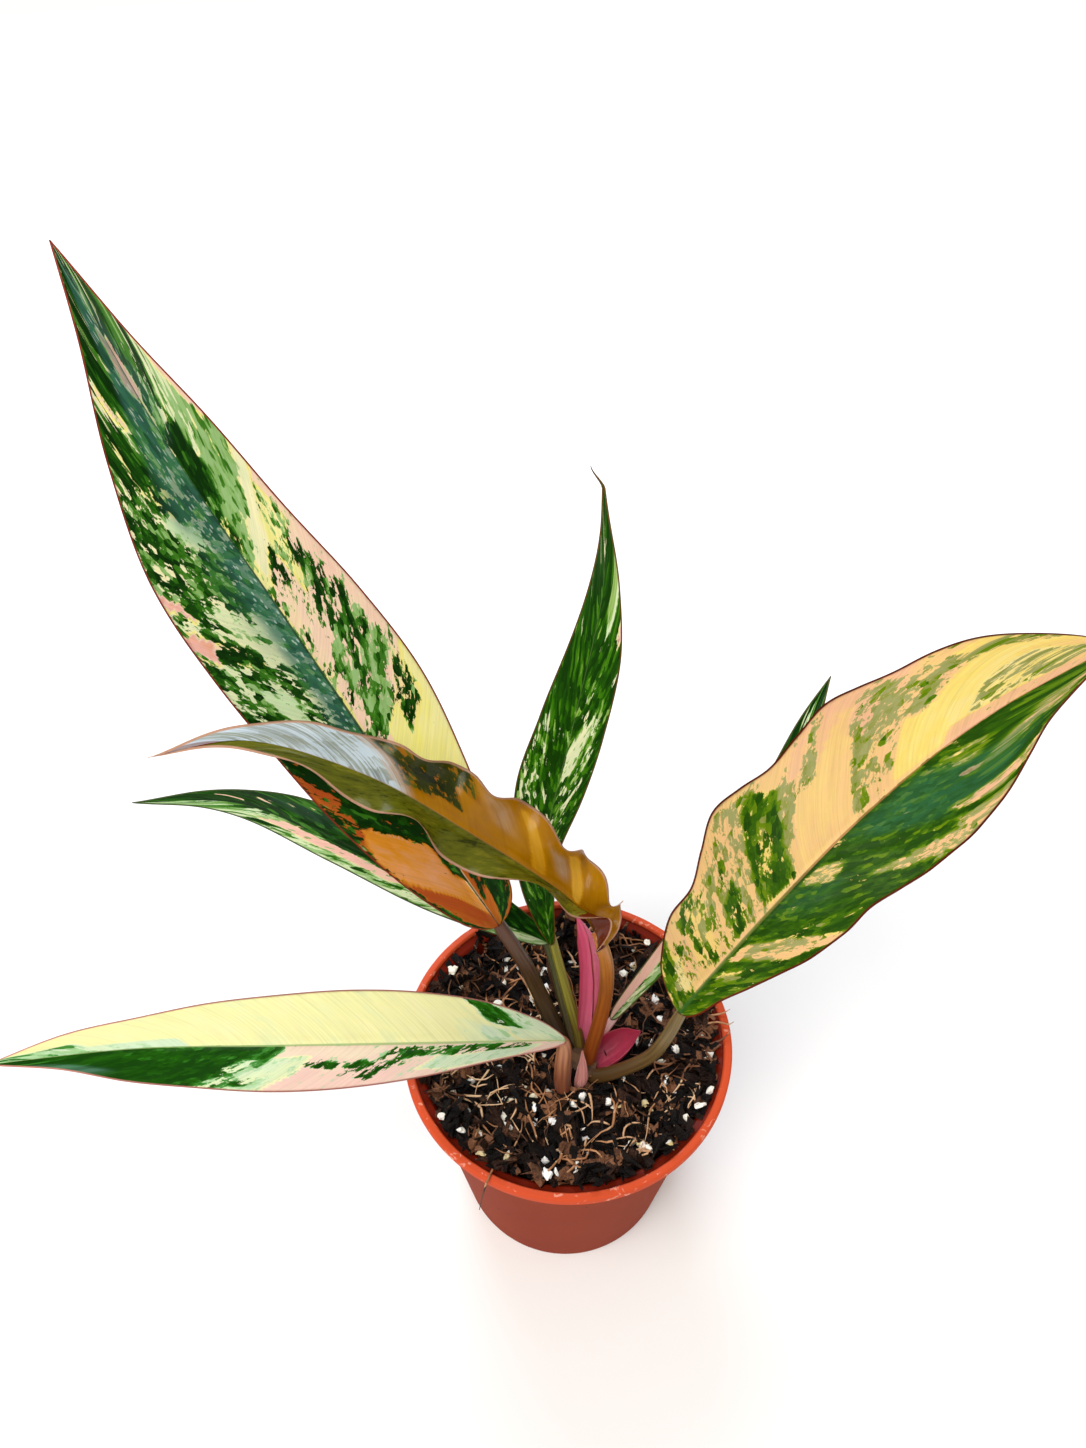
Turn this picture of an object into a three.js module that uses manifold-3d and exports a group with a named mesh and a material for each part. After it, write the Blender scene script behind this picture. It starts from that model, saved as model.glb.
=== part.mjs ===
// A potted philodendron with marbled leaves: seven blades on their stalks, four sheaths of finished
// leaves and a short stem, standing in bark soil in a round plastic nursery pot.
// Millimetres, +Z up. The origin is the middle of the pot's foot, on the surface it stands on.
// +Y points away from the viewer and +X to the right.

import * as THREE from "three";
import { mergeVertices } from "three/addons/utils/BufferGeometryUtils.js";
import Module from "manifold-3d";

const wasm = await Module();
wasm.setup();

const CLEARANCE = 0.3; // between neighbouring pieces

const POT = {
  height: 100,
  rimRadius: 60,
  lipWidth: 3.2,
  lipHeight: 3.6,
  bodyTopRadius: 54.8,
  footRadius: 42.4,
  wall: 1.4,
  floor: 1.8,
  footRing: 32, // inner radius of the ring that the pot stands on
  centrePad: 20, // radius of the flat pad in the middle of the foot
  channel: 1.2, // height of the channel between them
  drainHoles: 8,
  drainRadius: 4,
  sides: 56,
};

const SOIL = {
  level: 91,
  sides: 40,
  rings: 5,
  tilt: 0.035, // the front stands higher
  swell: 0.9, // height of the low mounds
  chips: 84,
  chipSize: [15, 6, 5], // the largest bark chip
  seed: 7,
};

const STEM = { path: [[4, -9, 58], [4.5, -9, 96]], radii: [6.2, 6.2] };

const BLADE = {
  thickness: 0.8,
  ribDepth: 1.4, // how far the rib stands out below, at the base
  ribWidth: 0.14, // in half-widths
  baseRound: 0.05, // share of the length over which the base rounds off
  leastWidth: 0.5, // half-width that is left where the outline closes
};

const COLOUR = {
  terracotta: "#c4492c",
  bark: "#2b2320",
  olive: "#6f6434",
  brown: "#6b4a30",
  caramel: "#b4761c",
  tan: "#b08a63",
  pink: "#c9506f",
  palePink: "#e3a09c",
  dryBrown: "#80543a",
  leaf: "#3f6b2a",
  cream: "#dcd9a0",
  peach: "#d7b377",
};

// The leaves. A spine runs from the blade's base to its tip, and the other lists are evenly spaced
// along it. left and right are the half-widths, as seen from the base along the upper side, lift is
// the angle at which each half leaves the rib, face is the way the upper side looks, and a wave bends
// the margin up and down by depth degrees, count times along the leaf.

const LEAVES = {
  tall_left: {
    colour: COLOUR.leaf,
    rows: 28,
    columns: 8,
    spine: [[-24, 12, 152], [-53, 27, 203], [-83, 45, 256], [-113, 65, 306], [-141, 96, 348]],
    face: [0.35, -0.75, 0.55],
    left: [6, 16, 22, 25.5, 27.5, 25.5, 17, 7.5, 0.6],
    right: [8, 15.5, 22, 25.5, 23, 18, 13.5, 6.5, 0.6],
    lift: { left: [16, 12, 10, 12, 14], right: [16, 12, 10, 12, 14] },
    wave: {
      left: { count: 2.5, start: 0.1, depth: [0, 7, 3] },
      right: { count: 3.2, start: 0.4, depth: [0, 6, 3] },
    },
    stalk: {
      colour: COLOUR.brown,
      path: [[4, -8, 88], [-3, 1, 98], [-10, 8, 114], [-16, 10, 133], [-23.5, 12, 151.5]],
      radii: [3.3, 3.1, 2.9, 2.7, 2.5],
    },
  },
  low_left: {
    colour: COLOUR.leaf,
    rows: 24,
    columns: 8,
    spine: [[-7, 23, 125], [-46, 31, 142], [-82, 44, 155], [-119, 57, 163], [-160, 61, 159]],
    face: [0, -0.5, 0.85],
    left: [2, 4.6, 6, 6.5, 6.5, 6, 4.6, 2, 0.6],
    right: [3, 9, 13.3, 13.6, 12.3, 9.4, 5.2, 3, 0.6],
    lift: { left: [16, 12, 10, 12], right: [16, 12, 10, 12] },
    wave: {
      left: { count: 2, start: 0, depth: [0, 5, 0] },
      right: { count: 2, start: 0.3, depth: [0, 6, 0] },
    },
    stalk: {
      colour: COLOUR.brown,
      path: [[3, -6, 88], [1, 3, 98], [-3, 13, 111], [-7.5, 23, 125]],
      radii: [2, 1.9, 1.8, 1.7],
    },
  },
  upright: {
    colour: COLOUR.leaf,
    rows: 24,
    columns: 8,
    spine: [[-6, 19, 130], [-8, 29, 172], [1, 48, 213], [10, 71, 250], [10, 97, 277]],
    face: [-0.3, -0.8, 0.45],
    left: [1.5, 7, 10.5, 13.5, 11.2, 7.8, 4.7, 1.6, 0.5],
    right: [1.5, 3, 5, 9.6, 11.1, 10.4, 5.8, 2.2, 0.5],
    lift: { left: [25, 14, 10, 12], right: [25, 14, 10, 12] },
    wave: {
      left: { count: 2, start: 0.2, depth: [0, 5, 0] },
      right: { count: 2, start: 0.5, depth: [0, 5, 0] },
    },
    stalk: {
      colour: COLOUR.olive,
      path: [[5, -7, 88], [4, 1, 98], [0, 9, 112], [-6, 19.5, 131]],
      radii: [2.2, 2, 1.9, 1.7],
    },
  },
  caramel: {
    colour: COLOUR.caramel,
    rows: 44,
    columns: 12,
    spine: [[10, -13, 177], [-3, -6, 194], [-32, 2, 215], [-60, 10, 230], [-94, 17, 237], [-125, 18, 229]],
    face: [0.1, -0.5, 0.85],
    left: [8, 10, 10.5, 10, 10.5, 10.5, 9, 6, 3.2, 1.2, 0.4],
    right: [8, 12.5, 13.5, 16, 16, 14.5, 11.5, 9.5, 5, 2.6, 0.4],
    lift: { left: [40, 110, 75, 38, 30, 30, 30, 28, 25, 22, 20], right: [30, 30, 30, 28, 25, 20] },
    wave: {
      left: { count: 4.65, start: 0.96, depth: [0, 40, 48, 40, 15, 0] },
      right: { count: 7.7, start: 0.17, depth: [45, 58, 34, 30, 12, 5, 0] },
    },
    stalk: {
      colour: COLOUR.caramel,
      path: [[6, -9, 88], [9, -6, 104], [12, -5, 130], [11.5, -10, 160], [9.5, -13, 178]],
      radii: [2.9, 2.7, 2.5, 2.3, 2.1],
    },
  },
  broad_right: {
    colour: COLOUR.peach,
    rows: 34,
    columns: 10,
    spine: [[37, -11, 134], [66, 9, 164], [99, 33, 187], [143, 64, 200], [210, 112, 193]],
    face: [-0.25, -0.5, 0.83],
    left: [8, 17, 23, 24, 30, 36, 34.5, 32.5, 34, 36, 33.5, 30.5, 28.5, 25, 19, 11, 0.6],
    right: [5, 7, 11.5, 16, 20.5, 22.5, 22, 24.5, 27.5, 28, 26.5, 24, 19, 13, 8.5, 4.5, 0.6],
    lift: { left: [16, 10, 8, 10], right: [14, 10, 8, 10] },
    wave: {
      left: { count: 4, start: 0, depth: [8, 14, 10, 5, 0] },
      right: { count: 4, start: 0.13, depth: [4, 12, 12, 8, 0] },
    },
    stalk: {
      colour: COLOUR.olive,
      path: [[4, -10, 88], [14, -14, 97], [27, -15, 110], [33, -14, 122], [37.5, -11, 134.5]],
      radii: [2.9, 2.6, 2.4, 2.3, 2.1],
    },
  },
  narrow_right: {
    colour: COLOUR.leaf,
    rows: 22,
    columns: 6,
    spine: [[16, 4, 104], [33, 14, 127], [54, 32, 150], [77, 59, 172], [98, 97, 189]],
    face: [-0.3, -0.4, 0.85],
    left: [1.5, 3, 3.6, 4.2, 5, 5.8, 6, 4.8, 0.6],
    right: [1.5, 3, 4.2, 4.5, 5, 5.5, 5.5, 3.8, 0.6],
    lift: { left: [25, 20, 15, 15], right: [25, 20, 15, 15] },
    wave: {
      left: { count: 2, start: 0, depth: [0, 4, 0] },
      right: { count: 2, start: 0.5, depth: [0, 4, 0] },
    },
    stalk: {
      colour: COLOUR.palePink,
      path: [[5, -8, 88], [9, -3, 94], [13, 1, 99], [17, 4.5, 105]],
      radii: [1.9, 1.8, 1.6, 1.5],
    },
  },
  level_left: {
    colour: COLOUR.cream,
    rows: 26,
    columns: 8,
    spine: [[-1, -13, 119], [-49, -19, 128], [-96, -22, 132], [-145, -22, 130], [-197, -23, 121]],
    face: [0, -0.25, 0.95],
    left: [1.5, 6, 11, 14, 15, 13.7, 10.8, 4.5, 0.6],
    right: [3, 12.5, 16.7, 17.8, 16.6, 14.2, 10.2, 7, 0.6],
    lift: { left: [12, 8, 6, 8], right: [12, 8, 6, 8] },
    wave: {
      left: { count: 2, start: 0, depth: [0, 3, 3] },
      right: { count: 1.5, start: 0.4, depth: [0, 3, 0] },
    },
    stalk: {
      colour: COLOUR.tan,
      path: [[0, -17, 85], [-2, -17, 96], [-2, -16, 107], [-2, -13, 119]],
      radii: [3.1, 3.1, 3, 2.6],
    },
  },
};

// The stalks in the order in which they crowd each other out of the stem.
const STALKS = ["caramel", "level_left", "tall_left", "broad_right", "upright", "low_left", "narrow_right"];

// The sheaths that wrapped the leaves before they opened: channels along a path, open on one side.
// wrap is the angle in degrees to which each wall goes round from the channel's back.

const SHEATHS = {
  tall: {
    colour: COLOUR.pink,
    path: [[6, -3, 95], [8, 4, 118], [7, 9, 140], [2, 13, 157]],
    open: [-0.7, -0.7, 0.1],
    radii: [3, 4.2, 4.2, 3.6, 0.6],
    wrap: [100, 125, 130, 120, 60],
  },
  boat: {
    colour: COLOUR.pink,
    path: [[8, -9, 95], [13, -7, 99], [20, -4, 104], [26, -3, 108]],
    open: [-0.3, -0.1, 0.95],
    radii: [2.5, 5, 5.6, 4, 0.6],
    wrap: [100, 100, 95, 80, 50],
  },
  small: {
    colour: COLOUR.palePink,
    path: [[4, -16, 91.5], [5, -14, 98], [5, -10, 107]],
    open: [0, 1, 0.1],
    radii: [2, 2.6, 2, 0.6],
    wrap: [80, 80, 70, 40],
  },
  dry: {
    colour: COLOUR.dryBrown,
    path: [[3, 3, 94], [0, 13, 104], [-4, 20, 114], [-7, 24, 121]],
    open: [0.2, 0.9, 0.4],
    radii: [3, 4.2, 4, 0.6],
    wrap: [90, 100, 90, 40],
  },
};

const radians = THREE.MathUtils.degToRad;
const vector = (p) => new THREE.Vector3(...p);
const curveOf = (points) => new THREE.CatmullRomCurve3(points.map(vector), false, "catmullrom", 0.5);

// The value at t, from 0 to 1, of a smooth curve through evenly spaced values.
function along(values, t) {
  const last = values.length - 1;
  const x = THREE.MathUtils.clamp(t, 0, 1) * last;
  const i = Math.min(Math.floor(x), last - 1);
  const f = x - i;
  const before = i > 0 ? values[i - 1] : 2 * values[0] - values[1];
  const after = i + 2 > last ? 2 * values[last] - values[last - 1] : values[i + 2];
  const slopeIn = (values[i + 1] - before) / 2;
  const slopeOut = (after - values[i]) / 2;
  const rise = values[i + 1] - values[i];
  const bend = slopeIn + slopeOut - 2 * rise;
  return values[i] + f * (slopeIn + f * (3 * rise - 2 * slopeIn - slopeOut + f * bend));
}

// A closed thin sheet: a plane's grid as the upper face, the same grid turned over as the lower face,
// so that both are split into triangles alike, and a strip round the edge. place gives the position
// for a share of the length, a side from -1 to 1, and face 1 above or -1 below.
function sheet(rows, columns, place) {
  const grid = new THREE.PlaneGeometry(1, 1, columns, rows);
  const { uv } = grid.attributes;
  const upper = Array.from(grid.index.array);
  const positions = [];
  for (const face of [1, -1]) {
    for (let i = 0; i < uv.count; i++) positions.push(...place(uv.getY(i), 2 * uv.getX(i) - 1, face));
  }
  const index = [...upper];
  for (let i = 0; i < upper.length; i += 3) {
    index.push(upper[i] + uv.count, upper[i + 2] + uv.count, upper[i + 1] + uv.count);
  }
  const row = columns + 1;
  const edge = [];
  for (let c = 0; c < columns; c++) edge.push(c);
  for (let r = 0; r < rows; r++) edge.push(r * row + columns);
  for (let c = columns; c > 0; c--) edge.push(rows * row + c);
  for (let r = rows; r > 0; r--) edge.push(r * row);
  edge.forEach((a, i) => {
    const b = edge[(i + 1) % edge.length];
    index.push(a, b, b + uv.count, a, b + uv.count, a + uv.count);
  });
  const geometry = new THREE.BufferGeometry();
  geometry.setAttribute("position", new THREE.Float32BufferAttribute(positions, 3));
  return geometry.setIndex(index);
}

// A blade at share t of its length and side -1 to 1: the point midway through it, the direction out
// of its upper side, and the depth of the rib below. swell pushes the outline out.
function bladeSurface(leaf, curve, t, side, swell) {
  const name = side > 0 ? "right" : "left";
  const half = Math.abs(side);
  const forward = curve.getTangent(t);
  const up = vector(leaf.face);
  up.addScaledVector(forward, -up.dot(forward)).normalize();
  const outward = forward.clone().cross(up).multiplyScalar(side > 0 ? 1 : -1);
  const base = Math.sqrt(1 - (1 - Math.min(1, t / BLADE.baseRound)) ** 2);
  const { count, start, depth } = leaf.wave[name];
  const wave = along(depth, t) * Math.sin(2 * Math.PI * (count * t + start));
  const lift = radians(along(leaf.lift[name], t)) * base;
  const bend = radians(wave) * base + 1e-6;
  const width = BLADE.leastWidth + swell + along(leaf[name], t) * base;
  const rib = BLADE.ribDepth * base * (1 - t) * Math.exp(-((side / BLADE.ribWidth) ** 2));
  const angle = lift + bend * half;
  const across = (Math.sin(angle) - Math.sin(lift)) / bend;
  const rise = (Math.cos(lift) - Math.cos(angle)) / bend;
  const end = (t === 1) - (t === 0);
  const point = curve.getPoint(t).addScaledVector(forward, end * swell);
  point.addScaledVector(outward, width * across).addScaledVector(up, width * rise);
  const tilt = half > 0 ? angle : 0;
  const normal = up.multiplyScalar(Math.cos(tilt)).addScaledVector(outward, -Math.sin(tilt));
  return { point, normal, rib };
}

// A blade with its rib below. swell makes it larger all round.
function blade(leaf, swell = 0) {
  const curve = curveOf(leaf.spine);
  return sheet(leaf.rows, leaf.columns, (t, side, face) => {
    const { point, normal, rib } = bladeSurface(leaf, curve, t, side, swell);
    const depth = BLADE.thickness / 2 + swell + (face < 0 ? rib : 0);
    return point.addScaledVector(normal, face * depth).toArray();
  });
}

// A round stalk along a path.
function stalk({ path, radii }, swell = 0) {
  const steps = 3 * (path.length - 1);
  const curve = curveOf(path);
  const { normals, binormals } = curve.computeFrenetFrames(steps, false);
  const rod = new THREE.CylinderGeometry(1, 1, 1, 10, steps);
  const { position } = rod.attributes;
  for (let i = 0; i < position.count; i++) {
    const t = THREE.MathUtils.clamp(0.5 - position.getY(i), 0, 1);
    const frame = Math.round(t * steps);
    const radius = along(radii, t) + swell;
    const point = curve.getPointAt(t);
    point.addScaledVector(normals[frame], radius * position.getX(i));
    point.addScaledVector(binormals[frame], radius * position.getZ(i));
    position.setXYZ(i, ...point.toArray());
  }
  return rod;
}

// A sheath: a channel that narrows to a point.
function sheath({ path, open, radii, wrap }, swell = 0) {
  const curve = curveOf(path);
  return sheet(12, 8, (t, side, face) => {
    const forward = curve.getTangent(t);
    const front = vector(open);
    front.addScaledVector(forward, -front.dot(forward)).normalize();
    const turn = radians(along(wrap, t)) * side;
    const outward = forward.clone().cross(front).multiplyScalar(Math.sin(turn));
    outward.addScaledVector(front, -Math.cos(turn));
    const radius = along(radii, t) - face * (BLADE.thickness / 2 + swell);
    return curve.getPoint(t).addScaledVector(outward, Math.max(radius, 0.05)).toArray();
  });
}

// A three.js geometry as a solid, and a solid as a three.js geometry.
function solidOf(geometry) {
  const bare = geometry.clone();
  bare.deleteAttribute("normal");
  bare.deleteAttribute("uv");
  const merged = mergeVertices(bare, 1e-3);
  const vertProperties = new Float32Array(merged.attributes.position.array);
  const triVerts = new Uint32Array(merged.index.array);
  return new wasm.Manifold(new wasm.Mesh({ numProp: 3, vertProperties, triVerts }));
}

function geometryOf(solid) {
  const { numProp, numVert, vertProperties, triVerts } = solid.getMesh();
  const positions = new Float32Array(numVert * 3);
  for (let i = 0; i < numVert; i++) {
    positions.set(vertProperties.subarray(i * numProp, i * numProp + 3), i * 3);
  }
  const geometry = new THREE.BufferGeometry();
  geometry.setAttribute("position", new THREE.BufferAttribute(positions, 3));
  return geometry.setIndex(new THREE.BufferAttribute(new Uint32Array(triVerts), 1));
}

const largestBody = (solid) => solid.decompose().reduce((a, b) => (b.volume() > a.volume() ? b : a));

const plant = new THREE.Group();

function add(name, solid, colour, roughness) {
  const material = new THREE.MeshStandardMaterial({ color: colour, roughness, metalness: 0 });
  const mesh = new THREE.Mesh(geometryOf(solid), material);
  mesh.name = name;
  plant.add(mesh);
}

// A round solid from a profile of [radius, height] pairs, lowest outside point first.
function turned(profile, sides) {
  const lathe = new THREE.LatheGeometry(profile.map(([r, z]) => new THREE.Vector2(r, z)), sides);
  return lathe.rotateX(Math.PI / 2);
}

function pot() {
  const { height, rimRadius, lipWidth, lipHeight, bodyTopRadius, footRadius, wall, floor } = POT;
  const { footRing, centrePad, channel } = POT;
  const lipFoot = height - lipHeight;
  const profile = [
    [0, 0],
    [centrePad, 0],
    [centrePad + channel, channel],
    [footRing - channel, channel],
    [footRing, 0],
    [footRadius - 1.2, 0],
    [footRadius, 1.2],
    [bodyTopRadius, lipFoot],
    [rimRadius - 0.4, lipFoot],
    [rimRadius, lipFoot + 0.4],
    [rimRadius, height - 0.6],
    [rimRadius - 0.6, height],
    [rimRadius - lipWidth + 0.4, height],
    [rimRadius - lipWidth, height - 0.4],
    [bodyTopRadius - wall, lipFoot],
    [footRadius - wall, floor + channel + 1.2],
    [footRadius - wall - 1.2, floor + channel],
    [0, floor + channel],
  ];
  let solid = solidOf(turned(profile, POT.sides));
  const middle = (centrePad + footRing) / 2;
  for (let i = 0; i < POT.drainHoles; i++) {
    const drill = new THREE.CylinderGeometry(POT.drainRadius, POT.drainRadius, 12, 12).rotateX(Math.PI / 2);
    drill.translate(middle, 0, 1).rotateZ(((i + 0.5) * 2 * Math.PI) / POT.drainHoles);
    solid = solid.subtract(solidOf(drill));
  }
  return solid;
}

// A repeatable stream of numbers from 0 to 1.
function seeded(seed) {
  let state = seed;
  return () => {
    state = (state * 16807) % 2147483647;
    return state / 2147483647;
  };
}

const innerRadius = (z) => {
  const share = (z - POT.floor) / (POT.height - POT.lipHeight - POT.floor);
  return THREE.MathUtils.lerp(POT.footRadius, POT.bodyTopRadius, share) - POT.wall;
};

// The height of the soil's surface: a slight slope with low mounds that die out towards the wall.
function groundHeight(x, y) {
  const edge = innerRadius(SOIL.level) - Math.hypot(x, y);
  const waves = Math.sin(0.16 * x + 1) * Math.cos(0.13 * y) + 0.6 * Math.sin(0.23 * y - 0.11 * x);
  return SOIL.level - SOIL.tilt * y + SOIL.swell * waves * THREE.MathUtils.smoothstep(edge, 1, 8);
}

// The soil fills the pot, with low mounds and bark chips sunk into its top.
function soil() {
  const foot = POT.floor + POT.channel + CLEARANCE;
  const footEdge = POT.footRadius - POT.wall - 1.4 - CLEARANCE;
  const topEdge = innerRadius(SOIL.level) - CLEARANCE - 0.1;
  const taper = (POT.bodyTopRadius - POT.footRadius) / (POT.height - POT.lipHeight);
  const profile = [[0, foot], [footEdge, foot], [footEdge + 1, foot + 2]];
  for (let i = SOIL.rings; i >= 0; i--) profile.push([(topEdge * i) / SOIL.rings, SOIL.level]);
  const body = turned(profile, SOIL.sides);
  const { position } = body.attributes;
  for (let i = 0; i < position.count; i++) {
    const [x, y, z] = [position.getX(i), position.getY(i), position.getZ(i)];
    if (z < SOIL.level - 1) continue;
    const height = groundHeight(x, y);
    const spread = 1 + ((height - SOIL.level) * taper) / topEdge;
    position.setXYZ(i, x * spread, y * spread, height);
  }
  let solid = solidOf(body);
  const random = seeded(SOIL.seed);
  for (let i = 0; i < SOIL.chips; i++) {
    const size = SOIL.chipSize.map((s) => s * (0.45 + 0.55 * random()));
    const chip = new THREE.OctahedronGeometry(0.5, 0).scale(...size);
    chip.rotateX(random() * 0.9 - 0.45).rotateY(random() * 0.9 - 0.45).rotateZ(random() * 6.28);
    const radius = (topEdge - 6) * Math.sqrt((i + 0.5) / SOIL.chips);
    const angle = i * 2.39996 + 0.3 * random();
    const [x, y] = [radius * Math.cos(angle), radius * Math.sin(angle)];
    chip.translate(x, y, groundHeight(x, y) + 0.1 * size[2]);
    solid = solid.add(solidOf(chip));
  }
  return solid;
}

// The pieces of the plant, each cut clear of those before it.
const placed = [];

function grow(name, make, colour, roughness) {
  let solid = solidOf(make(0));
  for (const other of placed) solid = solid.subtract(other);
  add(name, largestBody(solid), colour, roughness);
  placed.push(solidOf(make(CLEARANCE)));
}

grow("stem", (swell) => stalk(STEM, swell), COLOUR.brown, 0.8);
for (const [name, leaf] of Object.entries(LEAVES)) {
  grow("blade_" + name, (swell) => blade(leaf, swell), leaf.colour, 0.35);
}
for (const name of STALKS) {
  const spec = LEAVES[name].stalk;
  grow("stalk_" + name, (swell) => stalk(spec, swell), spec.colour, 0.4);
}
for (const [name, spec] of Object.entries(SHEATHS)) {
  grow("sheath_" + name, (swell) => sheath(spec, swell), spec.colour, 0.5);
}

let ground = soil();
for (const piece of placed) ground = ground.subtract(piece);
add("soil", largestBody(ground), COLOUR.bark, 0.95);
add("pot", pot(), COLOUR.terracotta, 0.55);

export default plant;
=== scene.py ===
# %% [markdown]
# # A potted marbled philodendron
# The plant is a young climbing aroid in a nursery pot. Its seven long blades are marbled: in some
# cells the green is missing, and cream, peach or pink shows through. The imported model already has
# every piece in its place, with plain faces. This script keeps each piece's form and gives it what
# the model leaves out: veins, fine margins, bark, white grains, fibres and colour.

import math
import random
from functools import lru_cache

import bmesh
import bpy
from mathutils import Matrix, Vector, noise


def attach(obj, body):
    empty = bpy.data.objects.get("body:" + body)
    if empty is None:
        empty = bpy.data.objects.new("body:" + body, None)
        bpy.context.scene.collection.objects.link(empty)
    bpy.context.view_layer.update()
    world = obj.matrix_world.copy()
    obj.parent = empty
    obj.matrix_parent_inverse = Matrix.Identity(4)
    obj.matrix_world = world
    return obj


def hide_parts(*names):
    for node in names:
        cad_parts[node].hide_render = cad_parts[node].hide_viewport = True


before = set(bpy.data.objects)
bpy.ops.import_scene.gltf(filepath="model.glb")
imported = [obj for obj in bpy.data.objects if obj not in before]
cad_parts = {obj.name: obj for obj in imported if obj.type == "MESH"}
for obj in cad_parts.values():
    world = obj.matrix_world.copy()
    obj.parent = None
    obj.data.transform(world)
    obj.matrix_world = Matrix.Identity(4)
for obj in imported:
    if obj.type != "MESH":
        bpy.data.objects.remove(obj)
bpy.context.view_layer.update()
print("carried over:", sorted(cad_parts))

MM = 0.001  # the model's numbers are millimetres, and Blender's are metres

# %% [markdown]
# ## One function for every node of a material
# A material is a small graph. Building it in code needs only one helper: it adds a node, sets its
# properties, and then gives each of its sockets either a plain value or a link from another node.
# Sockets that share a name are counted from 0. A colour Mix has its factor at 0 and its colours at
# 6 and 7. A Map Range has its value at 0, the range it comes from at 1 and 2, and the range it goes
# to at 3 and 4. Colours are written as they look on a screen, and the shader wants them linear.

# %% Colours and nodes
def linear(colour):
    """A hex colour as seen on a screen, as the linear red, green, blue and alpha of the shader."""
    parts = [int(colour[i : i + 2], 16) / 255 for i in (1, 3, 5)]
    return [p / 12.92 if p < 0.04045 else ((p + 0.055) / 1.055) ** 2.4 for p in parts] + [1.0]


def wire(tree, node, inputs):
    for name, value in inputs.items():
        if isinstance(value, bpy.types.NodeSocket):
            tree.links.new(value, node.inputs[name])
        elif isinstance(value, str):
            node.inputs[name].default_value = linear(value)
        else:
            node.inputs[name].default_value = value


def add(tree, kind, inputs, stops=(), **properties):
    """Adds one node and returns its outputs. stops are a colour ramp's (position, hex colour)."""
    made = tree.nodes.new("ShaderNode" + kind)
    for name, value in properties.items():
        setattr(made, name, value)
    for i, (position, colour) in enumerate(stops):
        elements = made.color_ramp.elements
        stop = elements[i] if i < len(elements) else elements.new(position)
        stop.position, stop.color = position, linear(colour)
    wire(tree, made, inputs)
    return made.outputs


def new_material(name):
    material = bpy.data.materials.new(name)
    material.use_nodes = True
    tree = material.node_tree
    return material, tree, tree.nodes["Principled BSDF"]


# %% [markdown]
# ## Smooth rules
# A plant has no straight lines. Widths, heights and angles are given at a few evenly spaced places,
# and a curve through them gives all the places between. Two more shapes do the rest: a smooth step
# and a smooth hump.

# %% Curves, steps and humps
def along(values, t):
    """The value at t, from 0 to 1, of a smooth curve through evenly spaced numbers or points."""
    last = len(values) - 1
    x = min(max(t, 0.0), 1.0) * last
    i = min(int(x), last - 1)
    f = x - i
    here, there = values[i], values[i + 1]
    before = values[i - 1] if i > 0 else 2 * here - there
    after = values[i + 2] if i + 2 <= last else 2 * there - here
    slope_in = (there - before) / 2
    slope_out = (after - here) / 2
    rise = there - here
    bend = slope_in + slope_out - 2 * rise
    return here + (slope_in + (3 * rise - 2 * slope_in - slope_out + bend * f) * f) * f


def smooth(low, high, x):
    """0 up to low, 1 from high on, and an S-shaped step between them. high may be the lesser."""
    f = min(max((x - low) / (high - low), 0.0), 1.0)
    return f * f * (3 - 2 * f)


def hump(distance, width):
    """1 in the middle, and next to nothing at twice the width from it."""
    return math.exp(-((distance / width) ** 2))


# %% [markdown]
# ## The seven leaves
# A blade is a thin sheet with a stiff rib. It could be sculpted, but the model already gives it by
# a rule: a spine, the way it faces, the half-widths in mm, and the angles in degrees at which the
# halves lift and wave. A wave is how many waves there are along the blade, where they start, and
# their depths from base to tip. hook moves the very tip aside, and base_round is the share of the
# length over which the base rounds off.
#
# A lateral vein leaves the rib and sweeps towards the tip. sweep says how far it gets, as a share
# of the length, on its way to the margin: at the base, and how much more at the tip. The right half
# may have a sweep of its own.

# %% Leaves by name
LEAVES = {}
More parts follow.
